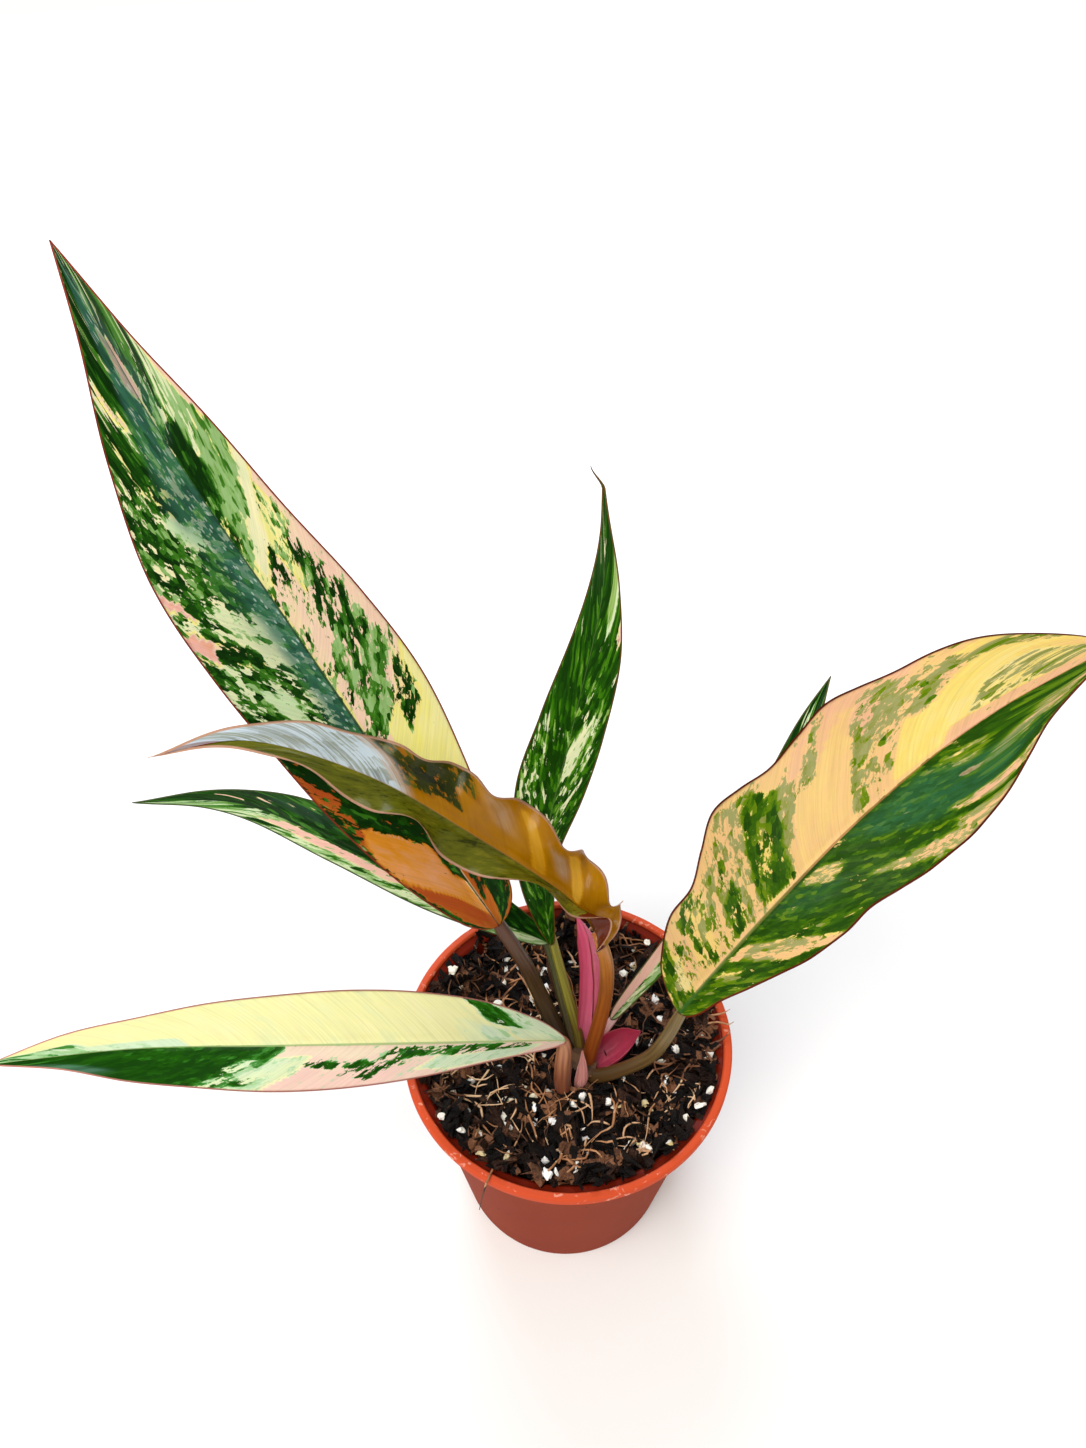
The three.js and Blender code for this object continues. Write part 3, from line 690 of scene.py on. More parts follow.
# %% Streaks along the veins
def streaks(tree, vector, size, shift=0.0):
    """Noise around zero in patches of that length and width, drawn out along the veins."""
    scale = (1 / size[0], 1 / size[1], 0)
    way = add(tree, "Mapping", {"Vector": vector, "Location": (shift, shift, 0), "Scale": scale})[0]
    value = add(tree, "TexNoise", {"Vector": way, "Scale": 1.0, "Detail": 4.0, "Roughness": 0.62})[0]
    return add(tree, "Math", {0: value, 1: 0.5}, operation="SUBTRACT")[0]


def weighed(tree, *parts):
    """The sum of some values, each times its weight."""
    total = 0.0
    for part, weight in parts:
        total = add(tree, "Math", {0: part, 1: weight, 2: total}, operation="MULTIPLY_ADD")[0]
    return total


# %% [markdown]
# Between the finest veins a whole cell is green or pale, so the two meet in small steps. A Voronoi
# pattern gives the cells, and the streaks are read once for each cell rather than at every point.
# Where it is there, the green lies in one, two or three layers, and it is thin beside a pale patch.

# %% Marbled skin
def marbled_skin(tree, look, off, tone):
    """The skin's colour, with the coarse and the broad streaks that it follows."""
    long, wide = look["cell"]
    cells = add(tree, "Mapping", {"Vector": off, "Scale": (1 / long, 1 / wide, 0)})[0]
    cells = add(tree, "TexVoronoi", {"Vector": cells, "Scale": 1.0}, voronoi_dimensions="2D")[2]
    cells = add(tree, "Mapping", {"Vector": cells, "Scale": (long, wide, 0)})[0]
    coarse = streaks(tree, cells, look["patch"])
    layer = streaks(tree, cells, look["patch"], shift=40.0)
    broad = streaks(tree, off, (0.018, 0.009))
    fine = streaks(tree, off, (0.0022, 0.0009))
    level = weighed(tree, (tone[0], 1.7), (coarse, look["ragged"]), (broad, 2.0), (fine, 5.5))
    pale = add(tree, "MapRange", {0: level, 1: -0.08, 2: 0.08})[0]
    fringe = add(tree, "MapRange", {0: level, 1: -0.9, 2: -0.05, 3: 0.0, 4: 0.22})[0]
    depth = weighed(
        tree, (tone[2], 1.0), (layer, look["layers"]), (broad, 0.8), (fine, 0.7), (fringe, -1.0)
    )
    green = add(tree, "ValToRGB", {0: depth}, stops=look["green"])[0]
    hue = weighed(tree, (tone[1], 0.8), (broad, 0.25), (coarse, 0.1))
    light = add(tree, "ValToRGB", {0: hue}, stops=look["pale"])[0]
    skin = add(tree, "Mix", {0: pale, 6: green, 7: light}, data_type="RGBA")[2]
    return skin, coarse, broad


# %% [markdown]
# Lateral veins are a little darker than the skin, and fine parallel lines run between them. Over
# parts of most leaves lies a painted reflection of the bluish sky, broken up by the streaks, which
# stands in for the gloss of the upper side. The tall leaf has small light dots, about 3 mm apart,
# which show only where that reflection is painted.

# %% Veins and bloom
def veined_skin(tree, skin, across, lines):
    vein = across
    sums = [("MULTIPLY", 1000 / VEIN_SPACING), ("FRACT", 0.0), ("SUBTRACT", 0.5), ("ABSOLUTE", 0.0)]
    for operation, number in sums:
        vein = add(tree, "Math", {0: vein, 1: number}, operation=operation)[0]
    vein = add(tree, "MapRange", {0: vein, 1: 0.46, 2: 0.5, 3: 0.0, 4: -0.06})[0]
    shade = add(tree, "Math", {0: lines, 1: 0.4, 2: 0.98}, operation="MULTIPLY_ADD")[0]
    shade = add(tree, "Math", {0: shade, 1: vein}, operation="ADD")[0]
    grey = add(tree, "CombineColor", {0: shade, 1: shade, 2: shade})[0]
    return add(tree, "Mix", {0: 1.0, 6: skin, 7: grey}, data_type="RGBA", blend_type="MULTIPLY")[2]


# painted reflection: a sky colour mixed into the skin where the boxes give it, with light dots in it
def with_painted_reflection(tree, skin, look, off, coarse, lines, sky_reflection):
    reflection_streaks = weighed(tree, (coarse, 1.0), (lines, look["reflection_lines"]))
    painted_reflection = add(tree, "MapRange", {0: reflection_streaks, 1: -0.15, 2: 0.08, 3: look["reflection_low"], 4: 1.0})[0]
    painted_reflection = add(tree, "Math", {0: sky_reflection, 1: painted_reflection}, operation="MULTIPLY")[0]
    skin = add(tree, "Mix", {0: painted_reflection, 6: skin, 7: look["painted_reflection"]}, data_type="RGBA")[2]
    dots = add(tree, "Mapping", {"Vector": off, "Scale": (1 / 0.0032, 1 / 0.0026, 0)})[0]
    dots = add(tree, "TexVoronoi", {"Vector": dots, "Scale": 1.0}, voronoi_dimensions="2D")[0]
    dots = add(tree, "MapRange", {0: dots, 1: 0.15, 2: 0.1, 3: 0.0, 4: look["dots"]})[0]
    dots = add(tree, "Math", {0: dots, 1: sky_reflection}, operation="MULTIPLY")[0]
    return add(tree, "Mix", {0: dots, 6: skin, 7: "#d9e8dc"}, data_type="RGBA")[2]


# %% [markdown]
# Last come the rib, which narrows towards the tip, the thin coloured margin, and the underside,
# where the same marbling shows duller.

# %% Rib, margin and underside
def bordered_skin(tree, skin, look, where, edge):
    reach = add(tree, "Math", {0: where[0]}, operation="ABSOLUTE")[0]
    rib_edge = add(tree, "Math", {0: where[2], 1: -0.0007, 2: 0.001}, operation="MULTIPLY_ADD")[0]
    rib = add(tree, "Math", {0: reach, 1: rib_edge}, operation="DIVIDE")[0]
    rib = add(tree, "MapRange", {0: rib, 1: 1.1, 2: 0.7, 3: 0.0, 4: look["rib_share"]})[0]
    rib_skin = add(tree, "ValToRGB", {0: where[2]}, stops=look["rib"])[0]
    skin = add(tree, "Mix", {0: rib, 6: skin, 7: rib_skin}, data_type="RGBA")[2]
    width = look["margin_width"]
    rim = add(tree, "MapRange", {0: edge[0], 1: width, 2: 0.6 * width})[0]
    skin = add(tree, "Mix", {0: rim, 6: skin, 7: look["margin"]}, data_type="RGBA")[2]
    below = add(tree, "Mix", {0: look["below_share"], 6: skin, 7: look["below"]}, data_type="RGBA")[2]
    return add(tree, "Mix", {0: edge[2], 6: skin, 7: below}, data_type="RGBA")[2]


# %% [markdown]
# The layers are put together here. A seed shifts each leaf's patterns, so that no two leaves are
# alike. The underside is duller, and the fine lines also give the gloss a faint grain.

# %% Leaf cuticle
def leaf_material(name, look):
    material, tree, shader = new_material(name)
    place, tone, edge = [
        add(tree, "Attribute", {}, attribute_name=label)[1] for label in ("place", "tone", "edge")
    ]
    where, tone, edge = [add(tree, "SeparateXYZ", {0: value}) for value in (place, tone, edge)]
    start = (look["seed"], 3 * look["seed"], 0)
    off = add(tree, "Mapping", {"Vector": place, "Location": start, "Scale": (1, 1, 0)})[0]
    lines = streaks(tree, off, (0.025, 0.0005))
    skin, coarse, broad = marbled_skin(tree, look, off, tone)
    skin = veined_skin(tree, skin, where[1], lines)
    skin = with_painted_reflection(tree, skin, look, off, coarse, lines, edge[1])
    skin = bordered_skin(tree, skin, look, where, edge)
    dull = weighed(tree, (edge[2], 0.2), (broad, 0.3))
    dull = add(tree, "Math", {0: dull, 1: look["roughness"]}, operation="ADD")[0]
    bump = add(tree, "Bump", {"Strength": 0.3, "Distance": 0.0002, "Height": lines})[0]
    wire(tree, shader, {"Base Color": skin, "Roughness": dull, "Normal": bump, "IOR": 1.45})
    wire(tree, shader, {"Specular IOR Level": look["gloss"]})
    wire(tree, shader, {"Coat Weight": look["coat"], "Coat Roughness": 0.12})
    return material


# %% [markdown]
# ## What each leaf looks like
# The leaves share one look, and each changes only what sets it apart. Sizes are in metres: cell and
# patch are a length along the veins and a width across them. ragged says how strongly the streaks
# break up the marks, and layers how much the green varies from cell to cell.

# %% Looks of the leaves
PALE_STEPS = (0.0, 0.16, 0.32, 0.48, 0.64, 0.8, 1.0)  # mint, cream, yellow, peach, pink, amber, rust


def pales(*colours):
    return list(zip(PALE_STEPS, colours))


def greens(*colours):
    """Cells with one, two or three green layers, each in a lighter and a darker colour."""
    return list(zip((0.0, 0.3, 0.34, 0.58, 0.63, 1.0), colours))


MARBLED = {
    "seed": 0.0,
    "green": greens("#b0cf92", "#94bf6a", "#56942e", "#3f841a", "#25620c", "#0e3c03"),
    "pale": pales("#d2e6c0", "#f5f0cc", "#f4ee90", "#f5e0c8", "#f3c8bc", "#e6a634", "#c66428"),
    "cell": (0.002, 0.001), "patch": (0.007, 0.0026), "ragged": 10.0, "layers": 3.6,
    # painted reflection of the sky: its colour, where its mask starts, and how much fine lines streak it
    "painted_reflection": "#4f8a78", "reflection_low": 0.35, "reflection_lines": 0.0, "dots": 0.0,
    "rib": [(0.0, "#6f8a4a"), (1.0, "#6f8a4a")], "rib_share": 0.8,
    "margin": "#9a4a2c", "margin_width": 0.0006, "below": "#9fae7c", "below_share": 0.45,
    "roughness": 0.36, "gloss": 0.1, "coat": 0.04,
}
# where a leaf has its own colour of painted sky reflection, it is the sky as that leaf mirrors it
LOOKS = {
    "tall_left": {
        **MARBLED, "seed": 0.31, "patch": (0.0066, 0.0026), "ragged": 11.0, "dots": 0.8,
        "rib": [(0.0, "#4a2810"), (0.3, "#2c4424"), (1.0, "#2c5c44")],
        "margin": "#b04a34", "coat": 0.1,
    },
    "low_left": {
        **MARBLED, "seed": 0.52, "rib": [(0.0, "#2f5a2a"), (1.0, "#2f5a2a")], "margin": "#5a6a3c",
    },
    "upright": {
        **MARBLED, "seed": 0.73, "cell": (0.0018, 0.0008), "patch": (0.006, 0.0017),
        "green": greens("#bcd28a", "#98c056", "#5a9a18", "#46880c", "#2f7006", "#1a4a03"),
        "rib_share": 0.5, "margin": "#7a5a22",
    },
    "broad_right": {
        **MARBLED, "seed": 0.14, "cell": (0.0026, 0.0014), "patch": (0.0072, 0.0026), "layers": 2.8,
        "green": greens("#b4b478", "#a0a64e", "#86a014", "#66900c", "#4a7a08", "#2c5806"),
        "pale": pales("#d8e2b4", "#f5eabe", "#f6e288", "#f3d298", "#f1c2aa", "#c8801c", "#b04c1c"),
        "rib": [(0.0, "#3f7a34"), (0.2, "#7a8a3a"), (0.4, "#b8804c"), (1.0, "#c88c5c")],
        "painted_reflection": "#3f8058", "margin": "#7e3018", "margin_width": 0.0009,
    },
    "narrow_right": {
        **MARBLED, "seed": 0.95, "rib": [(0.0, "#e8c4bc"), (1.0, "#5a8a4a")], "rib_share": 0.4,
        "margin": "#6a6a3a",
    },
    "level_left": {
        **MARBLED, "seed": 0.66, "patch": (0.009, 0.0026), "layers": 2.2,
        "green": greens("#c8e2bc", "#b0d69e", "#58a24a", "#3c8a24", "#2a7008", "#185004"),
        "pale": pales("#dcecd0", "#f4f2bc", "#f6f1d0", "#f3e2cc", "#f3d6ca", "#d88c22", "#bc5420"),
        "rib": [(0.0, "#b8cf8c"), (1.0, "#a8c07c")], "painted_reflection": "#7fb49c", "margin": "#d99a8c",
    },
    "caramel": {
        **MARBLED, "seed": 0.27, "cell": (0.0026, 0.0013), "patch": (0.009, 0.0036),
        "ragged": 8.0, "layers": 0.9,
        "green": greens("#a09a34", "#8c8a20", "#7c7e1c", "#64680e", "#464c08", "#242c04"),
        "pale": pales("#ecc44c", "#d8a014", "#bc840a", "#a4640a", "#90480c", "#843612", "#74280e"),
        # its painted sky reflection is nearly white, as on a mirror-glossy leaf
        "painted_reflection": "#e2eef8", "reflection_low": 0.42, "reflection_lines": 1.2,
        "rib": [(0.0, "#a8702c"), (1.0, "#b8906c")], "rib_share": 0.6,
        "margin": "#d8ac90", "margin_width": 0.0009, "below": "#8a3412", "below_share": 0.92,
        "roughness": 0.24, "gloss": 0.12, "coat": 0.42,
    },
}

# %% [markdown]
# ## Blades
# Now each blade is made, finished, and takes the place of the model's plain one.

# %% Blades
for name in LEAVES:
    piece = make_blade(name, leaf_material("leaf_cuticle_" + name, LOOKS[name]))
    print(piece.name, len(piece.data.polygons), "faces")

# %% [markdown]
# ## Leaf stalks
# A stalk is a fleshy rod that runs from the stem in the soil to the base of its blade. A curve with
# a bevel would also do, but a grid rolled up along the path keeps the distance round it and along
# it on every point, and the stalk's fine fibres follow those.

# %% Rolled-up grid
def direction(path, t):
    return (along(path, t + 1e-3) - along(path, t - 1e-3)).normalized()


def rolled(path, radius_at, rows, columns, bm=None):
    """A closed rod along a path in mm. radius_at gives the radius for a share of the length and an
    angle. Its points get the angle, the share and the distance along the rod."""
    path = [Vector(p) for p in path]
    tube = bm or bmesh.new()
    layers = tube.verts.layers.float_vector
    place = layers.get("place") or layers.new("place")
    made = bmesh.ops.create_grid(tube, x_segments=columns, y_segments=rows, size=1)["verts"]
    length = sum((b - a).length for a, b in zip(path, path[1:]))
    for vert in made:
        t, angle = (vert.co.y + 1) / 2, math.pi * (vert.co.x + 1)
        forward = direction(path, t)
        side = forward.cross(Vector((0, -0.8, 0.6))).normalized()
        round_it = side * math.cos(angle) + forward.cross(side) * math.sin(angle)
        vert.co = (along(path, t) + round_it * radius_at(t, angle)) * MM
        vert[place] = (angle, t, length * t * MM)
    bmesh.ops.remove_doubles(tube, verts=made, dist=1e-6)
    open_edges = [e for e in tube.edges if e.is_boundary]
    bmesh.ops.holes_fill(tube, edges=open_edges, sides=columns + 1)
    return tube


# %% [markdown]
# A stalk's skin is the same waxy cuticle as a leaf's, drawn over long fibres. The noise that makes
# the fibres is stretched to 30 mm along the stalk, and about fourteen of them go round it. A ramp
# carries the colour from the stem, at 0, to the blade, at 1, and a blotchy noise keeps it from
# being even.

# %% Stalk skin
def stalk_material(name, stops, dark):
    material, tree, shader = new_material(name)
    place = add(tree, "Attribute", {}, attribute_name="place")[1]
    where = add(tree, "SeparateXYZ", {0: place})
    way = add(tree, "Mapping", {"Vector": place, "Scale": (2.2, 0.0, 1 / 0.03)})[0]
    fibres = add(tree, "TexNoise", {"Vector": way, "Scale": 1.0, "Detail": 3.0, "Roughness": 0.6})[0]
    blotch = add(tree, "TexNoise", {"Vector": place, "Scale": 2.5, "Detail": 3.0})[0]
    spread = add(tree, "Math", {0: blotch, 1: 0.35, 2: where[1]}, operation="MULTIPLY_ADD")[0]
    spread = add(tree, "Math", {0: spread, 1: 0.175}, operation="SUBTRACT")[0]
    skin = add(tree, "ValToRGB", {0: spread}, stops=stops)[0]
    line = add(tree, "MapRange", {0: fibres, 1: 0.45, 2: 0.62, 3: 0.0, 4: 0.65})[0]
    skin = add(tree, "Mix", {0: line, 6: skin, 7: dark}, data_type="RGBA")[2]
    bump = add(tree, "Bump", {"Strength": 0.4, "Distance": 0.0003, "Height": fibres})[0]
    wire(tree, shader, {"Base Color": skin, "Roughness": 0.36, "Normal": bump, "IOR": 1.45})
    wire(tree, shader, {"Coat Weight": 0.1, "Coat Roughness": 0.2})
    return material


# %% [markdown]
# The paths and the radii along them, in millimetres, are the model's.

# %% Stalk paths
STALKS = {
    "tall_left": (
        [(4, -8, 88), (-3, 1, 98), (-10, 8, 114), (-16, 10, 133), (-23.5, 12, 151.5)],
        [3.3, 3.1, 2.9, 2.7, 2.5],
    ),
    "low_left": ([(3, -6, 88), (1, 3, 98), (-3, 13, 111), (-7.5, 23, 125)], [2, 1.9, 1.8, 1.7]),
    "upright": ([(5, -7, 88), (4, 1, 98), (0, 9, 112), (-6, 19.5, 131)], [2.2, 2, 1.9, 1.7]),
    "caramel": (
        [(6, -9, 88), (9, -6, 104), (12, -5, 130), (11.5, -10, 160), (9.5, -13, 178)],
        [2.9, 2.7, 2.5, 2.3, 2.1],
    ),
    "broad_right": (
        [(4, -10, 88), (14, -14, 97), (27, -15, 110), (33, -14, 122), (37.5, -11, 134.5)],
        [2.9, 2.6, 2.4, 2.3, 2.1],
    ),
    "narrow_right": ([(5, -8, 88), (9, -3, 94), (13, 1, 99), (17, 4.5, 105)], [1.9, 1.8, 1.6, 1.5]),
    "level_left": ([(0, -17, 85), (-2, -17, 96), (-2, -16, 107), (-2, -13, 119)], [3.1, 3.1, 3, 2.6]),
}

# %% [markdown]
# Most stalks have the brown of old skin at their foot, and the narrow leaf's is pink all along.
# Above, each takes a colour of its own leaf: rust, olive, amber, green or tan. The last value is
# the colour of the fibres.

# %% Stalk colours
STALK_LOOKS = {
    "tall_left": (
        [(0.0, "#33261a"), (0.5, "#4c3a1e"), (0.85, "#5c3422"), (1.0, "#8c4a30")], "#2a1c10"
    ),
    "low_left": ([(0.0, "#4a3424"), (1.0, "#4f5a24")], "#2f2216"),
    "upright": ([(0.0, "#5a3c1c"), (0.4, "#7a7420"), (1.0, "#949428")], "#4a3414"),
    "caramel": (
        [(0.0, "#7c3410"), (0.4, "#9c5214"), (0.8, "#b87420"), (1.0, "#a4501a")], "#7a380e"
    ),
    "broad_right": (
        [(0.0, "#38240f"), (0.35, "#5c4220"), (0.8, "#7c683a"), (0.93, "#6f8a4a"), (1.0, "#3f7a4a")],
        "#4a3a20",
    ),
    "narrow_right": ([(0.0, "#c98a86"), (1.0, "#f0cfc8")], "#d09a94"),
    "level_left": (
        [(0.0, "#7c4430"), (0.4, "#94583c"), (0.8, "#b8805a"), (1.0, "#c9b888")], "#6c3828"
    ),
}

# %% [markdown]
# A stalk is not quite round: it has a channel along its upper side and faint flutes all round.
# It runs on for a few millimetres under its blade and thins out there, so that the two are joined
# from every side, as they are on the plant.

# %% Stalks
CHANNEL_DEPTH, FLUTE_DEPTH, FLUTES = 0.12, 0.02, 5  # depths are shares of the radius


def stalk_radius(radii):
    """The rule for a stalk's radius: a channel above, faint flutes all round and a rounded end."""

    def radius_at(t, angle):
        channel = CHANNEL_DEPTH * hump(angle - 1.5 * math.pi, 0.5) * smooth(0.1, 0.4, t)
        end = math.sqrt(max(0.04, 1 - max(0, (t - 0.975) / 0.025) ** 2))
        return along(radii, t) * end * (1 - channel + FLUTE_DEPTH * math.sin(FLUTES * angle))

    return radius_at


for name, (path, radii) in STALKS.items():
    up = section(name, 0.0)[2]
    under_blade = blade_point(name, 0.05, 0.0, True)[0] - up * 0.3
    path = path[:-1] + [Vector(path[-1]) - up * (0.75 * radii[-1]), under_blade]
    radii = radii[:-1] + [0.9 * radii[-1], 0.35 * radii[-1]]
    skin = stalk_material("petiole_skin_" + name, *STALK_LOOKS[name])
    piece = write_mesh(rolled(path, stalk_radius(radii), 60, 28), "petiole_" + name, skin)
    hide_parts("stalk_" + name)
print("stalks:", len(STALKS))

# %% [markdown]
# ## Sheaths
# Each leaf unfolds from a sheath that stays behind as a curved ribbon. It is a channel: a thin sheet
# whose cross-section is an arc, narrowing to a point. The same thin sheet as for the blades is rolled
# to that arc. open is the way its channel faces, wrap how many degrees each side reaches round, and
# ragged how much the rim is torn, which it is where the sheath has dried.

# %% Sheath paths
SHEATHS = {
    "tall": {
        "path": [(6, -3, 95), (8, 4, 118), (7, 9, 140), (2, 13, 157)], "open": (-0.7, -0.7, 0.1),
        "radii": [3, 4.2, 4.2, 3.6, 0.6], "wrap": [100, 125, 130, 120, 60], "ragged": 0.02,
    },
    "boat": {
        "path": [(8, -9, 95), (13, -7, 99), (20, -4, 104), (26, -3, 108)], "open": (-0.3, -0.1, 0.95),
        "radii": [2.5, 5, 5.6, 4, 0.6], "wrap": [100, 100, 95, 80, 50], "ragged": 0.02,
    },
    "small": {
        "path": [(4, -16, 91.5), (5, -14, 98), (5, -10, 107)], "open": (0, 1, 0.1),
        "radii": [2, 2.6, 2, 0.6], "wrap": [80, 80, 70, 40], "ragged": 0.04,
    },
    "dry": {
        "path": [(3, 3, 94), (0, 13, 104), (-4, 20, 114), (-7, 24, 121)], "open": (0.2, 0.9, 0.4),
        "radii": [3, 4.2, 4, 0.6], "wrap": [90, 100, 90, 40], "ragged": 0.1,
    },
}

# %% [markdown]
# The sheet's x becomes the angle round the path, and its y the share of the path's length. Shallow
# pleats run along it, as in a leaf that was folded in the bud.

# %% One sheath
HALF_SHEATH = 0.36  # half the thickness of a sheath, in mm; its rims are thinner


def make_sheath(name, spec, material):
    path = [Vector(p) for p in spec["path"]]
    bm, lower = thin_sheet(80, 40)
    place = bm.verts.layers.float_vector.new("place")
    edge = bm.verts.layers.float_vector.new("edge")
    for vert in bm.verts:
        t, side = (vert.co.y + 1) / 2, vert.co.x
        forward = direction(path, t)
        front = Vector(spec["open"])
        front = (front - forward * front.dot(forward)).normalized()
        tear = noise.noise(Vector((9 * t, 3 * math.copysign(1, side), 1))) - 0.3
        turn = math.radians(along(spec["wrap"], t)) * side * (1 + spec["ragged"] * tear * abs(side))
        outward = forward.cross(front) * math.sin(turn) - front * math.cos(turn)
        pleat = 0.08 * math.sin(11 * turn) * smooth(0, 0.2, t)
        inner = -1 if vert in lower else 1
        radius = along(spec["radii"], t) - inner * HALF_SHEATH * (1 - 0.6 * side**6) + pleat
        vert[place] = (turn, t, along(spec["radii"], t) * MM)
        vert[edge] = (side, t, float(vert in lower))
        vert.co = (along(path, t) + outward * max(radius, 0.05)) * MM
    piece = write_mesh(bm, "cataphyll_" + name, material)
    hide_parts("sheath_" + name)
    return piece


# %% [markdown]
# A fresh sheath is thin pink skin with fine fibres along it, a rim of another shade and a colour of
# its own inside.
# The dry one is the same skin turned to brown paper, which has hardly any gloss left.

# %% Sheath skin
def sheath_material(name, outside, inside, margin, dark, roughness):
    """Thin plant skin: its ramp goes from foot to tip, with fibres along it and a coloured edge."""
    material, tree, shader = new_material(name)
    place = add(tree, "Attribute", {}, attribute_name="place")[1]
    edge = add(tree, "SeparateXYZ", {0: add(tree, "Attribute", {}, attribute_name="edge")[1]})
    way = add(tree, "Mapping", {"Vector": place, "Scale": (5.0, 1.3, 0.0)})[0]
    fibres = add(tree, "TexNoise", {"Vector": way, "Scale": 1.0, "Detail": 4.0, "Roughness": 0.6})[0]
    spread = add(tree, "Math", {0: fibres, 1: 0.5, 2: edge[1]}, operation="MULTIPLY_ADD")[0]
    spread = add(tree, "Math", {0: spread, 1: 0.25}, operation="SUBTRACT")[0]
    skin = add(tree, "ValToRGB", {0: spread}, stops=outside)[0]
    line = add(tree, "MapRange", {0: fibres, 1: 0.5, 2: 0.7, 3: 0.0, 4: 0.6})[0]
    skin = add(tree, "Mix", {0: line, 6: skin, 7: dark}, data_type="RGBA")[2]
    skin = add(tree, "Mix", {0: edge[2], 6: inside, 7: skin}, data_type="RGBA")[2]
    far = add(tree, "Math", {0: edge[0]}, operation="ABSOLUTE")[0]
    rim = add(tree, "MapRange", {0: far, 1: 0.9, 2: 0.97})[0]
    skin = add(tree, "Mix", {0: rim, 6: skin, 7: margin}, data_type="RGBA")[2]
    bump = add(tree, "Bump", {"Strength": 0.5, "Distance": 0.0004, "Height": fibres})[0]
    wire(tree, shader, {"Base Color": skin, "Roughness": roughness, "Normal": bump, "IOR": 1.45})
    return material


# %% [markdown]
# The tall sheath fades from magenta at its foot to light pink, and the small one is pale salmon.

# %% Sheaths
# outside from foot to tip, then inside, rim, fibres and roughness
SHEATH_LOOKS = {
    "tall": (
        [(0.0, "#942852"), (0.3, "#c4487a"), (0.75, "#ea84a2"), (1.0, "#f49ea6")],
        "#ee86a6", "#b0503c", "#d8587c", 0.38,
    ),
    "boat": (
        [(0.0, "#b43450"), (0.6, "#ce5068"), (1.0, "#e07680")],
        "#cc4866", "#e88c94", "#c83e5c", 0.34,
    ),
    "small": (
        [(0.0, "#e89a94"), (0.5, "#f6c0b8"), (1.0, "#fcdcd2")],
        "#f0b0a8", "#f4ccc2", "#dc8480", 0.4,
    ),
    "dry": (
        [(0.0, "#7c4c32"), (0.5, "#a87050"), (1.0, "#8a583c")],
        "#6a402a", "#c48e62", "#4c2e1c", 0.7,
    ),
}
for name, spec in SHEATHS.items():
    material = sheath_material("cataphyll_skin_" + name, *SHEATH_LOOKS[name])
    make_sheath(name, spec, material)
print("sheaths:", len(SHEATHS))

# %% [markdown]
# ## Pot
# A nursery pot is injection-moulded polypropylene, thin and slightly glossy, in a terracotta colour.
# It is round, so its outline is spun about the upright axis. Handling has left small nicks in the
# top of the lip.

# %% Pot outline
POT_OUTLINE = [
    (0, 0), (20, 0), (21.2, 1.2),  # pad in the middle of the foot
    (30.8, 1.2), (32, 0), (41.2, 0), (42.4, 1.2),  # channel for water, then the ring it stands on
    (54.8, 96.4), (59.6, 96.4), (60, 96.8),  # tapered wall, and the lip that overhangs it
    (60, 99.4), (59.4, 100), (57.6, 100), (57.1, 99.5),
    (56.7, 98), (54.4, 97.5), (53.4, 96.4),  # step inside the lip
    (41, 4.2), (39.8, 3), (0, 3),  # inner wall and floor
]
POT_STEPS = 180
NICK_DEPTH = 0.28


def spun(outline, steps):
    bm = bmesh.new()
    verts = [bm.verts.new((r * MM, 0, z * MM)) for r, z in outline]
    edges = [bm.edges.new(pair) for pair in zip(verts, verts[1:])]
    bmesh.ops.spin(
        bm, geom=verts + edges, cent=(0, 0, 0), axis=(0, 0, 1),
        angle=2 * math.pi, steps=steps, use_merge=True,
    )
    bmesh.ops.remove_doubles(bm, verts=bm.verts, dist=1e-6)
    bmesh.ops.recalc_face_normals(bm, faces=bm.faces)
    return bm


pot_mesh = spun(POT_OUTLINE, POT_STEPS)
for vert in pot_mesh.verts:
    radius = math.hypot(vert.co.x, vert.co.y) / MM
    if 56.5 < radius < 60.5 and vert.co.z > 99 * MM:
        nick = noise.noise(vert.co * 900) + 0.5 * noise.noise(vert.co * 260)
        vert.co.z -= NICK_DEPTH * MM * max(0, nick)
print("pot:", len(pot_mesh.faces), "faces")

# %% [markdown]
# The plastic's colour is even. The lip is painted brighter than the wall, as painted light where it
# faces the lamps, and on it lie light marks of a millimetre or two: painted highlights that also
# stand for scuffs. Specks of soil, about a millimetre across, stick to the wall. Inside, above the
# soil, the wall is painted a deeper red: painted shade, where light reaches it only through the
# plastic. The specular level is nought, since a fine-grained satin wall has no grey sheen of its
# own, and a thin coat gives the little gloss there is.

# %% Moulded polypropylene
WALL_LEAN, WALL_AT_FOOT = 0.1302, 0.0411  # middle of the wall: its lean, and its radius in metres at z 0
LIP_FROM, LIP_INSIDE = 0.0962, 0.0569  # the lip's underside and the radius of its inner edge


def inner_wall(tree, place, height, radius):
    """Nearly 1 on the inside of the pot, where the wall is painted in shade, and 0 on the outside and
    the floor.
    """
    slope = {0: place[2], 1: WALL_LEAN, 2: WALL_AT_FOOT}
    slope = add(tree, "Math", slope, operation="MULTIPLY_ADD")[0]
    ledge = add(tree, "Math", {0: height, 1: LIP_INSIDE}, operation="MULTIPLY")[0]
    slope = add(tree, "Math", {0: slope, 1: ledge}, operation="MAXIMUM")[0]
    inner = add(tree, "Math", {0: radius, 1: slope}, operation="LESS_THAN")[0]
    inner = add(tree, "Math", {0: inner, 1: place[2]}, operation="MULTIPLY")[0]
    return add(tree, "MapRange", {0: inner, 1: 0.004, 2: 0.01, 3: 0.0, 4: 0.9})[0]


